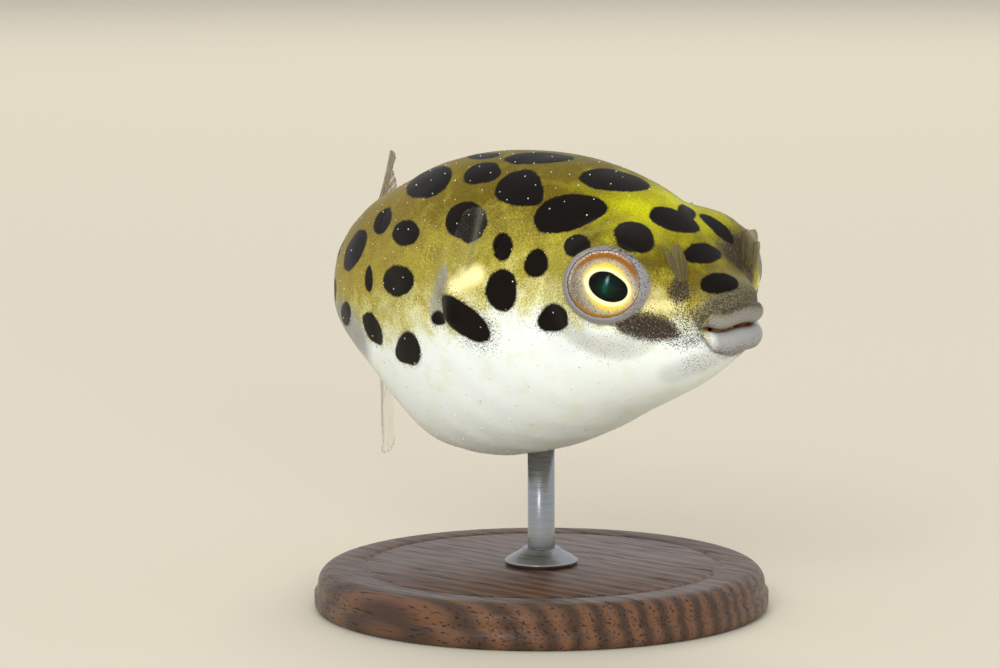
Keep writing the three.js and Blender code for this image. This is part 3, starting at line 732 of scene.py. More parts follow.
def studio_paper(add, look):
    """Seamless studio paper: matt and even, with a faint tooth."""
    place = (add("TexCoord"), "Object")
    tooth = add("TexNoise", {"Vector": place, "Scale": 1 / (0.7 * MM), "Detail": 3.0})
    bump = add("Bump", {"Height": tooth, "Strength": 0.06, "Distance": 0.05 * MM})
    return add("BsdfPrincipled", {"Base Color": look.floor, "Roughness": 0.9, "Normal": bump})


# ------------------------------------------------------------------ skin


# Angles of the rings on each lip's tube, from its outer root (90) over its front (0) into the mouth.
LIP_ANGLES = {1: (64, 50, 30, 4, -28, -60, -92, -124), -1: (100, 68, 36, 4, -28, -60, -92, -124)}
# Rings inside the mouth: place behind the snout tip, share of the mouth's width, height of its half.
THROAT = ((-2.1, 0.72, 0.95), (-2.7, 0.66, 0.9), (-3.0, 0.6, 0.45), (-3.1, 0.5, 0.0))
CAGE_ROWS = (6, 5, 2, 4, 4, 4, 4, 4, 4, 3, 5, 4, 4, 4)  # rows of the skin in each span of the lips' cage
COLUMNS = 480  # points round the body
ROW_GAP = ((0, 0.085), (11, 0.095), (17, 0.13), (30, 0.2), (55, 0.28))  # rows' spacing by station
SNOUT = {"from": 5.0, "rows": 48}  # forward of this station so many rows gather towards the mouth


def lip_level(ahead, sign):
    """Height of the mouth's line at the upper (1) or lower (-1) lip."""
    return MOUTH["height"] - MOUTH["dip"] * ahead - 4 * MOUTH_BOW[sign] * ahead**2 * (1 - ahead**2)


def lip_ring(form, sign, girth, angle):
    """Points of a lip's tube at one angle, and the way out from the mouth."""
    ahead = np.abs(np.cos(girth))
    across = -np.sin(girth)
    depth = MOUTH["corner"] - MOUTH["front"]
    open_up = np.minimum(1, ahead / 0.4) ** 0.6  # both lips run together at the corner
    size = 0.5 + 0.5 * ahead**0.6
    outward = unit(np.stack([ahead / depth, across / MOUTH["half_width"], 0 * ahead], -1))
    centre = np.stack([
        -MOUTH["corner"] - form["set_back"] + depth * ahead**0.8,
        MOUTH["half_width"] * across,
        lip_level(ahead, sign) + form["rise"] * (0.7 + 0.3 * ahead) * open_up,
    ], -1)
    turn = math.radians(angle)
    ring = centre + outward * (form["thick"] * size * math.cos(turn))[:, None]
    ring[:, 2] += sign * form["tall"] * size * open_up * math.sin(turn)
    return ring, outward


def mouth_cage(girth, join):
    """Rings from the snout's skin over the lips and into the mouth, before they are smoothed."""
    upper = np.cos(girth) >= 0
    ahead = np.abs(np.cos(girth))
    cage = [skin(join + 0.35, girth), skin(join, girth)]
    rings = []
    for over, under in zip(LIP_ANGLES[1], LIP_ANGLES[-1]):
        top, outward = lip_ring(UPPER_LIP, 1, girth, over)
        low, _ = lip_ring(LOWER_LIP, -1, girth, under)
        rings.append(np.where(upper[:, None], top, low))
    root = rings[0]
    swell = np.where(upper, UPPER_LIP["swell"], LOWER_LIP["swell"]) * ahead**0.5
    cage.append(cage[1] * 0.6 + root * 0.4 + outward * swell[:, None])
    crease = np.where(upper, UPPER_LIP["crease"], LOWER_LIP["crease"]) * ahead
    cage.append(cage[1] * 0.14 + root * 0.86 + outward * crease[:, None])
    cage.extend(rings)
    plane = np.where(upper, lip_level(ahead, 1), lip_level(ahead, -1))
    sign = np.where(upper, 1.0, -1.0) * np.minimum(1, ahead / 0.5) ** 0.7
    for depth, width, lift in THROAT:
        cage.append(np.stack([
            depth + 0.25 * ahead * (lift > 0.9),
            -MOUTH["half_width"] * width * np.sin(girth),
            plane + sign * lift,
        ], -1))
    return np.array(cage)


def through(cage, counts):
    """Smooth curve through the cage's rings, from its second to its last, with so many rows for each span."""
    rows = []
    ghost = 2 * cage[-1] - cage[-2]
    rings = [*cage, ghost]
    for i, count in enumerate(counts):
        a, b, c, d = rings[i : i + 4]
        for t in np.arange(1, count + 1) / count:
            rows.append(0.5 * (
                2 * b + (c - a) * t + (2 * a - 5 * b + 4 * c - d) * t**2 + (3 * b - a - 3 * c + d) * t**3
            ))
    return np.array(rows)


# Distance from the eye's middle, and where the ring's rows are drawn to from there.
LID_REACH = 4.2
LID_PLACE = ((0, 0), (1.4, 2.16), (1.95, 2.32), (2.9, 2.9), (LID_REACH, LID_REACH))
# Level of the skin over the eye's centre, from the hidden socket over the lid's crest to the head.
LID_SHAPE = (
    (0, 0.75), (2.06, 0.85), (2.2, 1.0), (2.27, 1.45), (2.33, 1.71), (2.41, 1.76), (2.53, 1.67),
    (2.69, 1.42), (2.86, 1.2), (3.1, 1.1), (4.2, 1.1),
)
lid_level = outline(LID_SHAPE)


FAR = 9.0  # stands for any distance that is out of reach


def form_eyelid(points, side):
    """Draws rows together at the eye, and shapes the socket and the ring of skin on the eyeball."""
    centre, outward, ahead, upward = eye_frame(side)
    form = EYE_RINGS[side]
    away = points - centre
    level = away @ outward
    shape = np.array([form["long"], form["tall"]])
    flat = np.stack([away @ ahead - form["ahead"], away @ upward - form["up"]], -1) / shape
    reach = np.linalg.norm(flat, axis=-1)
    near = (level > -1.2) & (reach < LID_REACH)
    pulled = np.interp(reach, *np.array(LID_PLACE).T)
    ring = 1 - smooth(pulled, 2.5, 2.95)
    over_skin = level + np.maximum(lid_level(pulled) - EYE["rim_height"], 0)
    new_level = over_skin * (1 - ring) + lid_level(pulled) * ring
    front, top = np.moveaxis(flat / np.maximum(reach, 1e-6)[..., None], -1, 0)
    flat = flat * shape * (pulled / np.maximum(reach, 1e-6))[..., None]
    moved = centre + (flat[..., :1] + form["ahead"]) * ahead + (flat[..., 1:] + form["up"]) * upward
    moved = moved + new_level[..., None] * outward
    # The ring's grey skin is narrow above and wide behind.
    pulled = pulled + (0.24 * np.maximum(top, 0) + 0.06 * front) * smooth(pulled, 2.35, 2.6)
    return np.where(near[..., None], moved, points), np.where(near, pulled, FAR)


def ellipse_gap(points, home, girth):
    """Signed distance in mm from an ellipse on the skin, on its own side of the body."""
    station, degrees, long, broad, tilt, taper = home
    here = np.array([float(station)]), np.radians([float(degrees)])
    aft, turn, outward = (axis[0] for axis in skin_axes(*here))
    away = points - skin(*here)[0]
    a0, b0 = away @ aft, away @ turn
    angle = math.radians(tilt)
    a = a0 * math.cos(angle) + b0 * math.sin(angle)
    b = (b0 * math.cos(angle) - a0 * math.sin(angle)) / (1 + taper * np.clip(a / long, -1, 1))
    e = np.sqrt((a / long) ** 2 + (b / broad) ** 2) + 1e-6
    slope = np.sqrt((a / long**2) ** 2 + (b / broad**2) ** 2) / e
    gap = (e - 1) / slope
    apart = np.abs((np.degrees(girth) - degrees + 180) % 360 - 180)
    return np.where((np.abs(away @ outward) < 3.5) & (apart < 75), gap, FAR)


def line_gap(points, start, end, side):
    """Distance in mm from a short line between two places on the skin, and the share along it."""
    a, b = (skin(*on_side(side, place))[0] for place in (start, end))
    along = np.clip((points - a) @ (b - a) / ((b - a) @ (b - a)), 0, 1)
    return np.linalg.norm(points - a - along[..., None] * (b - a), axis=-1), along


def grid_normals(points):
    """Outward unit normals of the body's grid."""
    along = np.gradient(points, axis=0)
    around = np.roll(points, -1, 1) - np.roll(points, 1, 1)
    return unit(np.cross(around, along))


def swelling(gap, size):
    """Share of a soft form at a distance from it."""
    return np.exp(-((gap / size) ** 2))


def gap_to(points, side, station, girth):
    """Distance in mm from a place on the skin."""
    return np.linalg.norm(points - skin(*on_side(side, (station, girth)))[0], axis=-1)


def sculpt(points, normals, station):
    """Small forms of the skin: gill slit, fin seats, nose, chin, vent and soft lumps."""
    lift = np.zeros(points.shape[:2])
    for side in (-1, 1):
        for start, end, rise, size in RELIEF:
            lift += rise * swelling(line_gap(points, start, end, side)[0], size)
        gap, along = line_gap(points, GILL_SLIT["from"], GILL_SLIT["to"], side)
        ends = np.sin(math.pi * np.clip(along, 0.02, 0.98)) ** 0.5
        lift -= GILL_SLIT["depth"] * swelling(gap, GILL_SLIT["half_width"]) * ends
        lift += 0.22 * swelling(gap_to(points, side, NOSTRIL["station"], NOSTRIL["girth"]), 0.7)
    for form, girth in ((DORSAL, 0.0), (ANAL, 180.0)):
        gap, _ = line_gap(points, (form["from"], girth), (form["to"], girth), 1)
        lift += 0.35 * swelling(gap, 0.9)
    vent = gap_to(points, 1, VENT["station"], 180)
    lift += VENT["rise"] * swelling(vent, VENT["radius"]) - VENT["depth"] * swelling(vent, VENT["hole"])
    # Faint lumps, a few mm apart, on all but the head.
    x, y, z = np.moveaxis(points, -1, 0)
    lumps = np.sin(0.9 * x + 1.3 * z) * np.sin(1.1 * y - 0.5 * x + 2)
    lumps += 0.6 * np.sin(2.1 * x) * np.sin(1.9 * z + y)
    lift += 0.022 * lumps * smooth(station, 6, 14)
    return points + lift[..., None] * normals


def skin_fields(plain, station, girth, lids, cage_start):
    """Per-point values that the skin's material reads."""
    degrees = np.degrees(np.abs(girth))
    upper = np.cos(girth) > 0
    line = white_girth(station)
    down = (degrees - line) / np.where(degrees < line, line, 180 - line)
    spot = np.full(plain.shape[:2], 2.0)
    for home in SPOTS:
        spot = np.minimum(spot, ellipse_gap(plain, home, girth))
    smudge = np.zeros(plain.shape[:2])
    for *home, density in SMUDGES:
        gap = ellipse_gap(plain, (*home, 0.0), girth) / home[3]
        smudge = np.maximum(smudge, density * (1 - smooth(gap, -0.5, 0.6)))
    # The ring of skin round each eye.
    lid = np.minimum(*lids)
    over_socket, past_ring = smooth(lid, 1.9, 2.0), smooth(lid, 2.6, 2.9)
    lid_skin = (1 - smooth(lid, 2.78, 2.92)) * over_socket
    ring_top = smooth(np.cos(girth), 0.4, 0.7) * (1 - smooth(lid, 2.8, 3.0)) * over_socket
    # The lips, by the rows of their cage.
    row = np.arange(plain.shape[0])[:, None] - cage_start + np.zeros(plain.shape[1])
    corner = 1 - smooth(np.abs(degrees - 108), 6, 22)
    # Towards the mouth's corner the lower lip takes less lip colour, so the white base colour shows there as
    # a painted highlight.
    lip = smooth(row, np.where(upper, 16, 6), np.where(upper, 28, 13)) * (1 - 0.6 * corner * ~upper)
    lip_root = smooth(row, np.where(upper, -4, -12), 8) * (1 - smooth(row, 14, 28))
    lip_top = np.exp(-(((row - 17) / 5.5) ** 2)) * upper * smooth(np.cos(girth), 0.3, 0.8)
    stipple = np.maximum.reduce([
        smudge * past_ring,
        0.25 * (1 - smooth(lid, 2.9, 3.6)) * past_ring,
        # Painted shade: dense pigment cells on the inner wall of each eye ring, down towards the iris. The
        # top of each ring is darkened the same way, partly its own dusky pigment and partly painted shade.
        0.75 * (1 - smooth(lid, 2.34, 2.4)) * over_socket,
        0.75 * ring_top,
        0.3 * lid_skin * (1 - smooth(station, 5.0, 6.2)),
        0.3 * (1 - smooth(np.abs(spot), 0.1, 0.5)) * smooth(degrees, 60, 90),
        lip_root * np.where(upper, 0.62, 0.55) * (1 - 0.4 * corner),
        0.8 * lip_top,
    ])
    head_top = smooth(station, 1.0, 4.0) * (1 - smooth(station, 9, 14)) * (1 - smooth(degrees, 40, 75))
    bright = np.exp(-(((station - 6.9) / 2.3) ** 2) - ((degrees - 15) / 20) ** 2)
    rear = 0.5 * smooth(station, 17, 30) * (1 - smooth(station, 34, 44)) * (1 - smooth(down, -0.36, -0.14))
    snout = np.where(upper, 0.55, 0.35) * (1 - smooth(station, 0.6, 2.6))
    snout = snout * (1 - 0.7 * smooth(degrees, 35, 85))
    sheen_and_cream, bluish = np.zeros((2, *plain.shape[:2]))
    for side in (-1, 1):
        # The first patch on each side is a painted highlight on the side fin's muscle, the others are cream
        # skin.
        for start, end, size, strength in SHEEN_AND_CREAM[side]:
            gap, _ = line_gap(plain, start, end, side)
            sheen_and_cream = np.maximum(sheen_and_cream, strength * (1 - smooth(gap, 0.15 * size, size)))
        # Painted bluish shade from the table at the top, in the eye ring's grey.
        for start, end, size, strength in PAINTED_BLUISH_SHADE:
            gap, _ = line_gap(plain, start, end, side)
            bluish = np.maximum(bluish, strength * (1 - smooth(gap, 0.3 * size, size)))
    return {
        "down": down,
        "forehead": 0.2 * head_top + 0.8 * bright,
        "rear": rear,
        "spot": np.maximum(spot, 1 - 6 * (lid - 2.74)),  # none on the ring
        "stipple": stipple,
        # Under the lower lip the bluish grey is painted shade. On each eye's ring it is the ring's own grey.
        "bluish": np.maximum.reduce([bluish, 0.65 * lip_root * ~upper, 0.95 * lid_skin]),
        "lip": 0.9 * lip,
        "snout": np.clip(np.maximum(snout, 0.8 * lip_root * upper) * (1 - lid_skin), 0, 1),
        "gape": smooth(row, 33, 40),
        "sheen_and_cream": sheen_and_cream * (1 - lid_skin),
    }


def body_rows(girth):
    """Stations of the skin's rows, from the tail to where each column meets its lip."""
    stations = [STANDARD_LENGTH - 0.1]
    while stations[-1] > SNOUT["from"]:
        stations.append(stations[-1] - np.interp(stations[-1], *np.array(ROW_GAP).T))
    stations = np.repeat(np.array(stations)[:, None], girth.size, 1)
    ahead = np.abs(np.cos(girth))
    middle = np.where(np.cos(girth) >= 0, UPPER_LIP["join"], LOWER_LIP["join"])
    join = LIP_CORNER_JOIN + (middle - LIP_CORNER_JOIN) * ahead**0.7
    share = np.arange(1, SNOUT["rows"] + 1)[:, None] / SNOUT["rows"]
    return np.concatenate([stations, stations[-1] + (join - stations[-1]) * share]), join


def build_skin(material):
    """One skin for head, trunk, tail and lips, as a closed grid from the tail's tip into the mouth."""
    girth = np.linspace(-math.pi, math.pi, COLUMNS, endpoint=False)
    station, join = body_rows(girth)
    turns = np.broadcast_to(girth, station.shape)
    plain = skin(station, turns)
    cage = mouth_cage(girth, join)
    lips = through(cage, CAGE_ROWS)
    cage_start = len(plain)
    points = np.concatenate([plain, lips])
    station = np.concatenate([station, np.repeat(join[None], len(lips), 0)])
    girths = np.broadcast_to(girth, station.shape)
    plain_all = points.copy()
    lids = []
    for side in (-1, 1):
        points, reach = form_eyelid(points, side)
        lids.append(reach)
    points = sculpt(points, grid_normals(points), station)
    # Rounded end of the tail's stalk, hidden in the tail fin's root.
    end = points[:1].mean(axis=1, keepdims=True)
    _, aft, _ = spine(STANDARD_LENGTH)
    caps = [end + (points[:1] - end) * math.sqrt(1 - t * t) + 0.6 * t * aft for t in (0.96, 0.8, 0.55, 0.3)]
    points = np.concatenate([*caps, points])
    fields = skin_fields(plain_all, station, girths, lids, cage_start)
    fields = {name: np.concatenate([np.repeat(v[:1], len(caps), 0), v]) for name, v in fields.items()}
    piece = make_piece(
        "skin", to_row(points), capped(len(points), COLUMNS), material,
        node_names=("head", "trunk", "tail", "upper_lip", "lower_lip"), slot="skin", fields=fields,
    )
    unwrap_grid(piece.data, points, COLUMNS)


MAP_MARGIN = 0.01


def within_map(share):
    """Place in the bake's map, clear of its edges."""
    return MAP_MARGIN + (1 - 2 * MAP_MARGIN) * share


def unwrap_grid(mesh, points, columns):
    """Unwrap of a closed grid: girth across and length up, in the map that the bake reads."""
    step = np.linalg.norm(np.diff(points, axis=0), axis=-1).mean(axis=1)
    up = np.concatenate([[0], np.cumsum(step)])
    up = within_map(up / up[-1])
    row, column = np.divmod(read_mesh(mesh.loops, "vertex_index"), columns)
    across = within_map(column / columns)
    quads = (len(points) - 1) * columns * 4
    seam = column[:quads].reshape(-1, 4)
    wrapped = (seam.max(1) == columns - 1)[:, None] & (seam == 0)
    across[:quads] += (1 - 2 * MAP_MARGIN) * wrapped.ravel()
    set_bake_map(mesh, np.stack([across, up[row]], -1))


def set_bake_map(mesh, places):
    """Gives a mesh the map that its materials are baked on."""
    layer = mesh.uv_layers.new(name="OFBake")
    layer.data.foreach_set("uv", places.astype(np.float32).ravel())


class PUFFER_OT_skin(bpy.types.Operator):
    """Makes the one skin of head, trunk, tail and lips"""

    bl_idname = "puffer.skin"
    bl_label = "Skin"

    def execute(self, context):
        build_skin(new_material("wet_fish_skin", fish_skin, context.scene.puffer_skin))
        return {"FINISHED"}


# ------------------------------------------------------------------ prickles


PRICKLED = (8.0, 43.0)  # from and to this station
PRICKLE = {"radius": 0.055, "sunk": 0.05, "lean": 0.5, "off_eye": 4.0, "off_fin": 1.2, "stray": 0.16}
PATCH = 0.003  # width of one prickle's patch in the bake's map


def build_prickles(look, material):
    """Tiny bone prickles set in loose rows over the skin, joined into one mesh."""
    rng = np.random.default_rng(7)
    gap = look.prickle_gap / MM
    height = look.prickle_height / MM
    sides = 6
    angle = np.linspace(0, 2 * math.pi, sides, endpoint=False)
    points, faces, patches = [], [], []
    for row, station in enumerate(np.arange(*PRICKLED, gap * 0.87)):
        ring = skin(np.full(64, station), np.linspace(0, 2 * math.pi, 64))
        around = np.linalg.norm(np.diff(ring, axis=0), axis=1).sum()
        count = int(around / gap)
        turn = (np.arange(count) + 0.5 * (row % 2)) / count * 2 * math.pi - math.pi
        turn = turn + rng.normal(0, PRICKLE["stray"], count) * gap / around * 2 * math.pi
        where = station + rng.normal(0, PRICKLE["stray"] * gap, count)
        root = skin(where, turn)
        aft, _, outward = skin_axes(where, turn)
        clear = np.ones(count, dtype=bool)
        for side in (-1, 1):
            clear &= np.linalg.norm(root - eye_frame(side)[0], axis=1) > PRICKLE["off_eye"]
            seat, _ = line_gap(root, PECTORAL["upper"], PECTORAL["lower"], side)
            clear &= seat > PRICKLE["off_fin"]
        size = rng.uniform(0.7, 1.15, count)
        for k in np.flatnonzero(clear):
            first = len(points) * (sides + 1)
            across = np.cross(outward[k], aft[k])
            foot = root[k] - PRICKLE["sunk"] * outward[k]
            radius = PRICKLE["radius"] * size[k]
            rim = foot + radius * (np.cos(angle)[:, None] * aft[k] + np.sin(angle)[:, None] * across)
            tip = root[k] + height * size[k] * (outward[k] + PRICKLE["lean"] * aft[k])
            points.append(np.concatenate([rim, tip[None]]))
            faces.extend([first + i, first + (i + 1) % sides, first + sides] for i in range(sides))
            faces.append([first + i for i in reversed(range(sides))])
            patches.append(((turn[k] + math.pi) / (2 * math.pi), where[k] / STANDARD_LENGTH))
    mesh = make_piece("prickles", to_row(np.concatenate(points)), faces, material, slot="skin").data
    # Each prickle bakes from a small round patch of its own, placed like its root on the body.
    ring = [*zip(np.cos(angle), np.sin(angle)), (0, 0)]
    prickle, corner = np.divmod(read_mesh(mesh.loops, "vertex_index"), sides + 1)
    set_bake_map(mesh, within_map(np.array(patches)[prickle]) + np.array(ring)[corner] * PATCH / 2)


class PUFFER_OT_prickles(bpy.types.Operator):
    """Sets the small prickles in the skin"""

    bl_idname = "puffer.prickles"
    bl_label = "Prickles"

    def execute(self, context):
        build_prickles(context.scene.puffer_skin, new_material("bony_spinule", bony_spinule))
        return {"FINISHED"}


# ------------------------------------------------------------------ eyes


IRIS_RADIUS = 2.45  # its edge lies under the lid
CORNEA = {"edge": 2.46, "rim": 1.6, "top": 2.5, "shell": 0.06}
# Level of the iris over the eye's centre, by its share of the way from the pupil to the edge.
iris_level = outline(((0, 1.78), (0.1, 1.85), (0.3, 1.84), (0.6, 1.78), (0.85, 1.7), (1.0, 1.58)))


def pupil_edge(look, turn):
    """Distance from the pupil's middle to its edge, by direction: an oval that droops forward."""
    tilted = turn + math.radians(PUPIL["droop"])
    long, tall = look.pupil_length / MM / 2, look.pupil_height / MM / 2
    oval = 1 / np.sqrt((np.cos(tilted) / long) ** 2 + (np.sin(tilted) / tall) ** 2)
    return oval * (1 - 0.07 * np.exp(-(((tilted - 1.0) / 0.5) ** 2)))


def build_eye(look, side, name, materials):
    """Iris, lens and cornea of one eye, each a closed piece made of rings round the eye's axis."""
    steps = 144
    turn = np.linspace(-math.pi, math.pi, steps, endpoint=False)
    centre, outward, ahead, upward = eye_frame(side)
    form = EYE_RINGS[side]
    centre = centre + form["ahead"] * ahead + form["up"] * upward
    ring = np.cos(turn)[:, None] * ahead + np.sin(turn)[:, None] * upward
    around = form["long"] * np.cos(turn)[:, None] * ahead + form["tall"] * np.sin(turn)[:, None] * upward

    def make(kind, rings, node_names=(), **fields):
        make_piece(
            f"{kind}_{name}", to_row(centre + np.concatenate(rings)), capped(len(rings), steps),
            materials[kind], node_names=node_names, slot="eye", fields=fields,
        )

    # Iris. The first rings close behind the lens, and the last ones behind the iris: one closed bowl.
    pupil = PUPIL["ahead"] * ahead + PUPIL["up"] * upward
    inner = pupil_edge(look, turn)[:, None]
    hole, edge = pupil + inner * ring, IRIS_RADIUS * around
    shares = np.linspace(0, 1, 34)
    rings = [pupil + 0.02 * ring + 1.2 * outward, pupil + 1.03 * (hole - pupil) + 1.45 * outward]
    rings += [hole + (edge - hole) * t + iris_level(t) * outward for t in shares]
    rings += [edge * share + level * outward for share, level in ((1.0, 1.2), (0.6, 1.15), (0.01, 1.1))]
    t = np.concatenate([[0, 0], shares, [1, 1, 1]])[:, None] + 0 * turn
    steep = np.abs(np.sin(turn))
    bright = t * np.linalg.norm(edge - hole, axis=-1) / (0.23 + 0.15 * steep)
    high, low = np.sin(turn + 0.15), -np.sin(turn - 0.1)
    make(
        "iris", rings, (f"eye_{name}",),
        ring=np.minimum(0.2 * bright, 1),
        outer=t,
        arc=smooth(high, 0.2, 0.6) * smooth(t, 0.5, 0.68) * (1 - smooth(t, 0.8, 0.88)),
        ochre=smooth(low, 0.25, 0.6) * smooth(t, 0.72, 0.78) * (1 - smooth(t, 0.88, 0.95)),
        lemon=0.85 * steep**1.5 * smooth(bright, 0.5, 0.9) * (1 - smooth(bright, 1.2, 2.2)),
        fleck=smooth(np.sin(turn - 0.5), 0.1, 0.6) * smooth(t, 0.76, 0.84),
    )
    # Lens, a dome in the pupil.
    rings = [
        pupil + 1.04 * d * inner * ring + (1.5 + 0.46 * math.sqrt(1 - d * d)) * outward
        for d in np.linspace(0.02, 1, 20)
    ]
    rings.append(pupil + 0.05 * ring + 1.35 * outward)
    along, up = ((np.concatenate(rings) - pupil) @ np.stack([ahead, upward], -1)).T
    # Painted reflections on the lens: a green sheen round the middle and a thin bluish-white glint near the
    # top.
    glow = np.exp(-(((along + 0.12 - 0.25 * up) / 0.16) ** 2) - ((up - 0.05) / 0.42) ** 2)
    make(
        "pupil", rings,
        sheen=0.9 * glow + 0.3 * np.exp(-((along / 0.6) ** 2) - ((up + 0.1) / 0.5) ** 2),
        streak=0.6 * np.exp(-(((along - 0.1 * (up - 0.3)) / 0.09) ** 2) - ((up - 0.42) / 0.2) ** 2),
    )
    # Cornea, a thin shell cut from a sphere.
    rise = CORNEA["top"] - CORNEA["rim"]
    sphere = (CORNEA["edge"] ** 2 + rise**2) / (2 * rise)
    radii = np.linspace(0.02, CORNEA["edge"], 28)
    level = CORNEA["top"] - sphere + np.sqrt(sphere**2 - radii**2)
    radii = np.concatenate([radii, radii[::-1]])
    level = np.concatenate([level, level[::-1] - CORNEA["shell"]])
    make(
        "cornea", [r * around + z * outward for r, z in zip(radii, level)],
        haze=0.2 * smooth(radii, 2.25, 2.45)[:, None] + 0 * turn,
    )


class PUFFER_OT_eyes(bpy.types.Operator):
    """Makes iris, lens and cornea of both eyes"""

    bl_idname = "puffer.eyes"
    bl_label = "Eyes"

    def execute(self, context):
        look = context.scene.puffer_eye
        materials = {
            "iris": new_material("guanine_iris", guanine_iris, look),
            "pupil": new_material("dark_lens", dark_lens, look),
            "cornea": new_material("clear_cornea", clear_cornea),
        }
        for name, side in SIDES:
            build_eye(look, side, name, materials)
        return {"FINISHED"}


# ------------------------------------------------------------------ beak and nostrils


def build_beak(material):
    """Two tooth plates with rounded edges, just behind the lips."""
    plane = MOUTH["height"] - MOUTH["dip"]
    turn = np.linspace(-math.pi / 2, math.pi / 2, 40)
    low, high = BEAK["gap"], BEAK["gap"] + BEAK["height"]
    section = (  # inset and level of each ring, and how wavy the worn edge is
        (0.5, low, 0), (0.1, low, 1), (0.02, low + 0.05, 1), (0, low + 0.15, 0.5), (0, high - 0.1, 0),
        (0.06, high, 0), (0.5, high, 0),
    )
    for name, sign in (("upper", 1), ("lower", -1)):
        rings = [
            np.stack([
                -BEAK["root"] + np.maximum(BEAK["depth"] - inset, 0.02) * np.cos(turn) ** 0.9,
                (BEAK["half_width"] - inset) * np.sin(turn),
                plane + sign * (level + 0.05 * wavy * np.cos(6 * turn)),
            ], -1)
            for inset, level, wavy in section
        ]
        make_piece(
            f"tooth_plate_{name}", to_row(np.concatenate(rings)), capped(len(rings), turn.size), material,
            node_names=(f"beak_{name}",), slot="beak",
        )


def leaf(root, rise, across, outward, height, width, curl, thickness, rows=26, columns=13):
    """A closed leaf of skin: a pointed oval that curls over its length."""
    t = np.linspace(0, 1, rows)[:, None]
    v = np.linspace(-1, 1, columns)[None, :]
    half = width / 2 * (0.6 + 0.5 * np.sin(math.pi * t) * (1 - 0.15 * t))
    half = half * np.sqrt(1 - smooth(t, 0.8, 1.06) ** 2)
    cup = curl * t**2 + 0.35 * width * v**2 * t
    middle = root + rise * (height * t)[..., None] + outward * cup[..., None]
    sheet = middle + across * (half * v)[..., None]
    thick = thickness * (1.1 - 0.6 * t) * (1 - 0.75 * v**4) / 2 + 0.012
    face = outward + 0 * sheet
    front, rear = sheet + face * thick[..., None], sheet - face * thick[..., None]
    fields = (np.broadcast_to(t, (rows, columns)), np.broadcast_to(v, (rows, columns)))
    return close_sheet(front, rear), [np.tile(field.ravel(), 2) for field in fields]


def close_sheet(front, rear):
    """Points and faces of a closed sheet from its two faces."""
    rows, columns = front.shape[:2]
    count = rows * columns
    faces = [*grid_faces(rows, columns, False)]
    faces += [face[::-1] + count for face in grid_faces(rows, columns, False)]
    edge = [*range(columns), *(r * columns + columns - 1 for r in range(1, rows))]
    edge += [*(count - 1 - c for c in range(1, columns)), *(r * columns for r in range(rows - 2, 0, -1))]
    for a, b in zip(edge, edge[1:] + edge[:1]):
        faces.append([b, a, a + count, b + count])
    return np.concatenate([front.reshape(-1, 3), rear.reshape(-1, 3)]), faces


# Lobes of each nose flap: place along the head, lean, height and width in mm.
FLAP_LOBES = {
    -1: ((-0.2, 0.2, 2.3, 0.5), (0.28, -0.04, 2.45, 1.05)),
    1: ((-0.1, 0.05, 2.4, 1.9), (0.5, -0.12, 2.0, 0.9)),
}
FLAP_TURN = {-1: 0, 1: 65}  # degrees about the stalk


def build_nostrils(material):
    """Forked nose flaps: two leaves from one root, on each side."""
    for name, side in SIDES:
        place = on_side(side, (NOSTRIL["station"] - 0.35, NOSTRIL["girth"] + 3.5))
        aft, _, outward = (axis[0] for axis in skin_axes(*place))
        root = skin(*place)[0] - 0.1 * outward
        up = unit(np.array([0.12, 0.05 * side, 1.0]))
        # The left flap is turned forward, the right one lies flat along the head.
        facing = np.array(Matrix.Rotation(math.radians(FLAP_TURN[side]), 3, Vector(up)))
        outward, aft = facing @ outward, facing @ aft
        points, faces, reach, ray = [], [], [], []
        for shift, lean, height, width in FLAP_LOBES[side]:
            rise = unit(up + lean * aft + 0.12 * outward)
            across = unit(np.cross(rise, outward))
            front = unit(np.cross(across, rise)) * -side
            (lobe, quads), (t, v) = leaf(root - shift * aft, rise, across, front, height, width, 0.25, 0.13)
            faces += [[i + sum(map(len, points)) for i in quad] for quad in quads]
            points.append(lobe)
            reach.append(0.2 + 0.75 * t)
            # Along each lobe's edges the paler tone is a painted highlight. The faint streaks between are the
            # flap's own.
            ray.append(0.6 * np.abs(v) ** 5 + 0.5 * np.cos(5.5 * v) ** 8)
        make_piece(
            f"nose_flap_{name}", to_row(np.concatenate(points)), faces, material,
            node_names=(f"nostril_{name}",), slot="skin",
            fields={"reach": np.concatenate(reach), "ray": np.concatenate(ray)},
        )


class PUFFER_OT_mouth(bpy.types.Operator):
    """Makes the tooth plates and the nose flaps"""

    bl_idname = "puffer.mouth"
    bl_label = "Tooth Plates and Nose Flaps"

    def execute(self, context):
        build_beak(new_material("tooth_enamel", tooth_enamel))
        # The nose flaps' paler tone paints a highlight along their edges.
        build_nostrils(new_material("nose_flap_skin", fin_film, "#5c5130", "#8b8160", 0.62))
        return {"FINISHED"}


# ------------------------------------------------------------------ fins


def ray_profile(u, t, rays):
    """Height of the rays, 0 to 1, across the fin. Past the middle each ray splits in two."""
    near = np.abs((u * rays + 0.5) % 1 - 0.5)
    single = np.clip(1 - near / 0.2, 0, 1)
    fork = 0.16 * smooth(t, 0.45, 1.0)
    double = np.clip(1 - np.abs(near - fork) / 0.13, 0, 1)
    mix = smooth(t, 0.42, 0.62)
    return single * (1 - mix) + double * mix


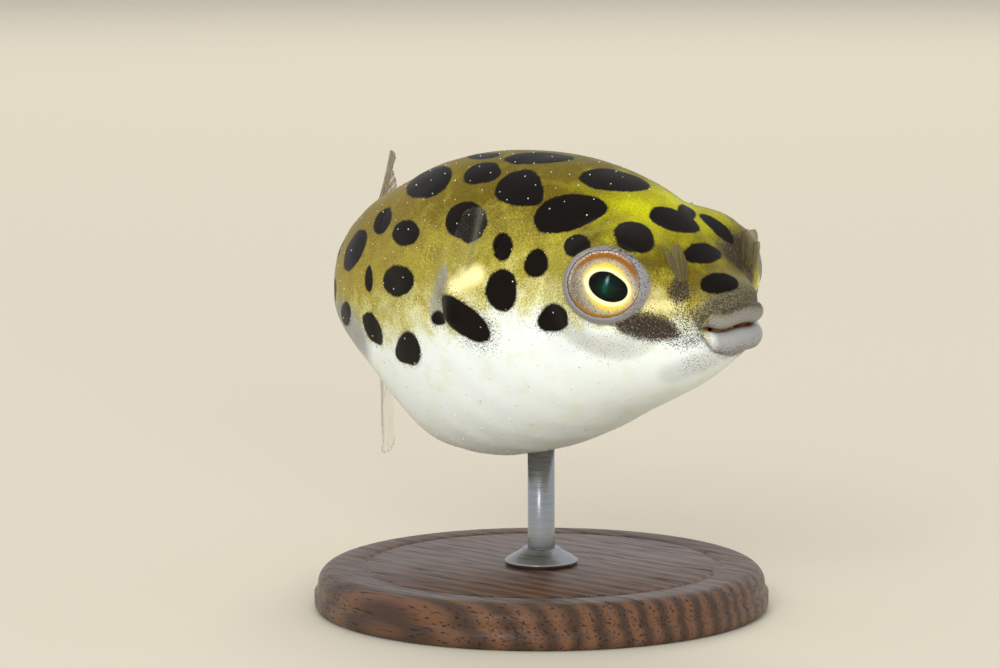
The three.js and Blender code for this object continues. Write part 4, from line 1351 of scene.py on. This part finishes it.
def build_fin(name, ray, rays, material, node_name, ripple, fold=0.0):
    """A closed fin of raised rays and thin membrane. ray(u) gives root, direction, length and bow."""
    steps = 44
    u = np.linspace(0, 1, rays * 10 + 1)[:, None]
    t = np.linspace(-0.08, 1, steps)[None, :]
    root, direction, reach, bow = ray(u[:, 0])
    along = np.clip(t, 0, 1)
    ridge = ray_profile(u, along, rays)
    notch = 1 - 0.035 * (1 - ray_profile(u, np.ones_like(u), rays))
    span = reach[:, None] * t * (1 - (1 - notch) * along**4)
    sheet = root[:, None] + direction[:, None] * span[..., None]
    sheet = sheet + bow[:, None] * (reach[:, None] * along**2)[..., None]
    across, outward = np.gradient(sheet, axis=0), np.gradient(sheet, axis=1)
    normal = unit(np.cross(across, outward))
    wave = ripple * along**1.5 * np.sin(2 * math.pi * (2.3 * u + 0.35 * along))
    sheet = sheet + normal * wave[..., None]
    fleshy = 0.26 * np.exp(-np.maximum(t, 0) / 0.09)
    half = 0.03 + 0.07 * ridge * (1 - 0.72 * along) + fleshy * np.sqrt(np.clip(4 * u * (1 - u), 0.15, 1))
    edges = np.minimum(1, np.minimum(u, 1 - u) * rays * 1.5 + 0.35)
    half = half * edges
    front, rear = sheet + normal * half[..., None], sheet - normal * half[..., None]
    points, faces = close_sheet(front, rear)
    # Along a band near the fin's middle, set by fold, the film is drawn dense, as where a folded fin lies
    # double.
    dense = np.maximum(ridge, fold * np.exp(-(((u - 0.4) / 0.07) ** 2)))
    fields = {
        field: np.tile(np.broadcast_to(values, sheet.shape[:2]).ravel(), 2)
        for field, values in (("ray", dense), ("reach", along))
    }
    make_piece(name, to_row(points), faces, material, node_names=(node_name,), slot="fin", fields=fields)


def midline_ray(form, up):
    """Rays of the back or anal fin: they stand on the midline and sweep back along the spine."""

    def ray(u):
        station = form["from"] + (form["to"] - form["from"]) * u
        slope = np.radians(form["slopes"][0] + (form["slopes"][1] - form["slopes"][0]) * u)
        _, aft, port = spine(station)
        root = skin(station, np.full(u.size, 0.0 if up > 0 else math.pi))
        direction = aft * np.cos(slope)[:, None] + port * form["lean"]
        direction[:, 2] = up * np.sin(slope)
        reach = form["length"] * (0.72 + 0.28 * np.sin(math.pi * u))
        return root, unit(direction), reach, port * form["bow"]

    return ray


def caudal_ray(u):
    """Rays of the tail fin."""
    at, aft, port = spine(CAUDAL["root"])
    top, bottom = back_height(STANDARD_LENGTH), belly_height(STANDARD_LENGTH)
    across = 2 * u - 1
    root = np.repeat(at[None], u.size, 0)
    root[:, 2] = (top + bottom) / 2 + 0.44 * (top - bottom) * across
    angle = np.radians(CAUDAL["spread"] * across)
    direction = aft * np.cos(angle)[:, None]
    direction[:, 2] = np.sin(angle)
    reach = CAUDAL["length"] * (1 - 0.16 * across**2)
    bow = np.repeat(-port[None] * CAUDAL["curl"] / CAUDAL["length"], u.size, 0)
    return root - 0.5 * aft, direction, reach, bow


def pectoral_ray(side):
    """Rays of a side fin, fanned out between three directions."""
    front, middle, rear = (unit(np.array([f, side * o, up])) for f, o, up in PECTORAL_RAYS[side])

    def ray(u):
        upper, lower = PECTORAL["upper"], PECTORAL["lower"]
        station = upper[0] + (lower[0] - upper[0]) * u
        girth = -side * np.radians(upper[1] + (lower[1] - upper[1]) * u)
        _, _, outward = skin_axes(station, girth)
        root = skin(station, girth) + outward * (SEAM + 0.2)
        w = u[:, None]
        direction = unit((1 - w) ** 2 * front + 2 * w * (1 - w) * middle + w**2 * rear)
        reach = PECTORAL["length"] * (0.8 + 0.2 * np.sin(math.pi * u))
        return root, direction, reach, np.repeat([[0, 0, 0.1]], u.size, 0)

    return ray


class PUFFER_OT_fins(bpy.types.Operator):
    """Makes all fins, with raised rays and thin membranes"""

    bl_idname = "puffer.fins"
    bl_label = "Fins"

    def execute(self, context):
        look = context.scene.puffer_fin
        clear = new_material("clear_fin", fin_film, look.membrane, look.ray, look.clearness)
        dusky = new_material("dusky_fin", fin_film, "#8f7d58", "#6a5636", 0.72 * look.clearness)
        side_clearness = 1 - 0.4 * (1 - look.clearness)
        filmy = new_material("side_fin", fin_film, "#6f6d5c", "#8b8a7c", side_clearness)
        build_fin("dorsal_rays", midline_ray(DORSAL, 1), look.midline_rays, dusky, "dorsal_fin", 0.16)
        build_fin("anal_rays", midline_ray(ANAL, -1), look.midline_rays, clear, "anal_fin", 0.12)
        build_fin("tail_rays", caudal_ray, look.tail_rays, dusky, "caudal_fin", 0.16)
        for name, side in SIDES:
            build_fin(
                f"pectoral_rays_{name}", pectoral_ray(side), look.pectoral_rays, filmy,
                f"pectoral_fin_{name}", 0.12, fold=5.0,
            )
        return {"FINISHED"}


# ------------------------------------------------------------------ stand


def arc_profile(radius, start, end, centre, steps=6):
    """Points of an arc for a turned profile, angles in degrees."""
    angles = np.radians(np.linspace(start, end, steps))
    return [(centre[0] + radius * math.cos(a), centre[1] + radius * math.sin(a)) for a in angles]


def node_size(name):
    """Largest half width, lowest and highest level of a CAD node, in mm."""
    low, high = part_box(name)
    return (high.x - low.x) / MM / 2, low.z / MM, high.z / MM


class PUFFER_OT_stand(bpy.types.Operator):
    """Makes the turned base, the flange and the rod"""

    bl_idname = "puffer.stand"
    bl_label = "Stand"

    def execute(self, context):
        look = context.scene.puffer_stand
        walnut = new_material("oiled_walnut", oiled_walnut, look)
        steel = new_material("brushed_steel", brushed_steel, look)
        radius, low, high = node_size("stand_base")
        base = [(0.05, low), (radius - 0.6, low)]
        base += arc_profile(0.5, -90, 0, (radius - 0.5, low + 0.5))
        base += [(radius, low + 1.2), (radius - 0.25, low + 1.35), (radius - 0.25, low + 1.5)]
        base += arc_profile(1.2, 0, 90, (radius - 1.45, high - 1.2), 9)
        base += [(radius - 3.2, high), (radius - 3.5, high - 0.18), (radius - 3.8, high), (0.05, high)]
        lathe("turned_base", base, 160, walnut,
              node_names=("stand_base",), slot="base_wood")
        radius, low, high = node_size("stand_flange")
        rod, _, top = node_size("stand_rod")
        flange = [(rod + 0.02, low - SEAM), (radius - 0.08, low - SEAM)]
        flange += arc_profile(0.12, -60, 60, (radius - 0.12, low - 0.05))
        flange += [(radius - 0.5, low + 0.35), (rod + 0.6, high - 0.25)]
        flange += arc_profile(0.2, 30, 90, (rod + 0.25, high - 0.2), 4) + [(rod + 0.02, high)]
        lathe("turned_flange", flange + [flange[0]], 96, steel,
              node_names=("stand_flange",), slot="stand_metal")
        top = STAND["belly_height"] + STAND["rod_depth"]
        shaft = [(0.03, low - SEAM), (rod, low - SEAM), (rod, low + 1), (rod, top - 0.3)]
        shaft += arc_profile(0.3, 0, 90, (rod - 0.3, top - 0.3), 5) + [(0.03, top)]
        lathe("steel_rod", shaft, 64, steel,
              node_names=("stand_rod",), slot="stand_metal")
        return {"FINISHED"}


# ------------------------------------------------------------------ stage


PICTURE_WIDTH, PICTURE_HEIGHT = 1000, 668  # pixels
EYE_PIXEL = (601, 286)  # where the near eye's ring stands in the picture
SENSOR = 36.0
EYE_RING_LEVEL = 1.5  # mm from the eye's centre to the plane of its ring
LIT_POINT = Vector((0, 0, 0.018))  # middle of the fish, which every light faces
FLOOR_REACH = 12.0  # metres, so that its edge is out of sight


def bearing(azimuth, elevation):
    """Unit vector away from the fish. Azimuth 0 points to the fish's right, at -Y."""
    flat = math.cos(elevation)
    return Vector((math.sin(azimuth) * flat, -math.cos(azimuth) * flat, math.sin(elevation)))


def aim_camera(look):
    """Places the camera, and turns it so that the near eye stands at its pixel."""
    centre, outward, _, _ = eye_frame(-1)
    target = Vector(to_row(centre + EYE_RING_LEVEL * outward)[0])
    back = bearing(look.azimuth, look.elevation)
    data = bpy.data.cameras.new("camera")
    data.lens, data.sensor_width = look.focal_length, SENSOR
    data.clip_start, data.clip_end = 0.005, 20
    camera = bpy.data.objects.new("camera", data)
    bpy.context.scene.collection.objects.link(camera)
    focal = look.focal_length / SENSOR * PICTURE_WIDTH
    aside = math.atan((EYE_PIXEL[0] - PICTURE_WIDTH / 2) / focal)
    above = math.atan((PICTURE_HEIGHT / 2 - EYE_PIXEL[1]) / focal)
    look_at = back.to_track_quat("Z", "Y").to_matrix()
    turn = look_at @ Euler((0, aside, 0)).to_matrix() @ Euler((-above, 0, 0)).to_matrix()
    camera.matrix_world = Matrix.Translation(target + back * look.distance) @ turn.to_4x4()
    bpy.context.scene.camera = camera


def add_area_light(name, azimuth, elevation, distance, size, power, tint, mirrored):
    """A soft square light that faces the fish, with its direction in degrees."""
    away = bearing(math.radians(azimuth), math.radians(elevation))
    data = bpy.data.lights.new(name, "AREA")
    data.energy, data.size, data.color = power, size, linear(tint)[:3]
    light = bpy.data.objects.new(name, data)
    light.location = LIT_POINT + away * distance
    light.rotation_euler = away.to_track_quat("Z", "Y").to_euler()
    light.visible_camera = False
    light.visible_glossy = mirrored
    bpy.context.scene.collection.objects.link(light)


class PUFFER_OT_stage(bpy.types.Operator):
    """Sets up camera, floor and soft lights"""

    bl_idname = "puffer.stage"
    bl_label = "Stage"

    def execute(self, context):
        look = context.scene.puffer_stage
        aim_camera(look)
        mesh = bpy.data.meshes.new("floor")
        corners = [(x * FLOOR_REACH, y * FLOOR_REACH, 0) for x, y in ((-1, -1), (1, -1), (1, 1), (-1, 1))]
        mesh.from_pydata(corners, [], [(0, 1, 2, 3)])
        mesh.materials.append(new_material("studio_paper", studio_paper, look))
        floor = bpy.data.objects.new("floor", mesh)
        context.scene.collection.objects.link(floor)
        # The wide lights shape the fish. Only the narrow flash is mirrored in the wet skin and the eye.
        add_area_light("key", 25, 28, 1.6, 0.9, look.key_power, "#fdfdff", mirrored=False)
        add_area_light("fill", 55, 11, 1.6, 0.45, look.fill_power, "#f8fbff", mirrored=False)
        add_area_light("rear", -140, 48, 1.6, 0.8, look.fill_power, "#fff8ec", mirrored=False)
        add_area_light("flash", 22, 29, 0.5, 0.035, look.flash_power, "#ffffff", mirrored=True)
        world = bpy.data.worlds.new("studio")
        context.scene.world = world
        world.use_nodes = True
        world.node_tree.nodes.clear()
        sky = add_node(world.node_tree, "Background", {"Color": "#eceef0", "Strength": look.sky})
        add_node(world.node_tree, "OutputWorld", {"Surface": sky})
        context.scene.view_settings.view_transform = "Standard"
        return {"FINISHED"}


# ------------------------------------------------------------------ panel and registration


OPERATORS = (
    PUFFER_OT_skin, PUFFER_OT_prickles, PUFFER_OT_eyes, PUFFER_OT_mouth, PUFFER_OT_fins, PUFFER_OT_stand,
    PUFFER_OT_stage,
)
SETTINGS = {
    "puffer_skin": PufferSkinSettings,
    "puffer_eye": PufferEyeSettings,
    "puffer_fin": PufferFinSettings,
    "puffer_stand": PufferStandSettings,
    "puffer_stage": PufferStageSettings,
}


class PUFFER_PT_panel(bpy.types.Panel):
    """Lists the pieces and their settings"""

    bl_label = "Green Spotted Puffer"
    bl_space_type = "VIEW_3D"
    bl_region_type = "UI"
    bl_category = "Puffer"

    def draw(self, context):
        for operator in OPERATORS:
            self.layout.operator(operator.bl_idname, text=operator.bl_label)
        for name in SETTINGS:
            settings = getattr(context.scene, name)
            box = self.layout.box()
            for field in settings.__annotations__:
                box.prop(settings, field)


def register():
    for group in (*SETTINGS.values(), *OPERATORS, PUFFER_PT_panel):
        bpy.utils.register_class(group)
    for name, group in SETTINGS.items():
        setattr(bpy.types.Scene, name, PointerProperty(type=group))


def unregister():
    for name in SETTINGS:
        delattr(bpy.types.Scene, name)
    for group in reversed((*SETTINGS.values(), *OPERATORS, PUFFER_PT_panel)):
        bpy.utils.unregister_class(group)


def main():
    register()
    bpy.ops.puffer.skin()
    bpy.ops.puffer.prickles()
    bpy.ops.puffer.eyes()
    bpy.ops.puffer.mouth()
    bpy.ops.puffer.fins()
    bpy.ops.puffer.stand()
    bpy.ops.puffer.stage()


if __name__ == "__main__":
    main()
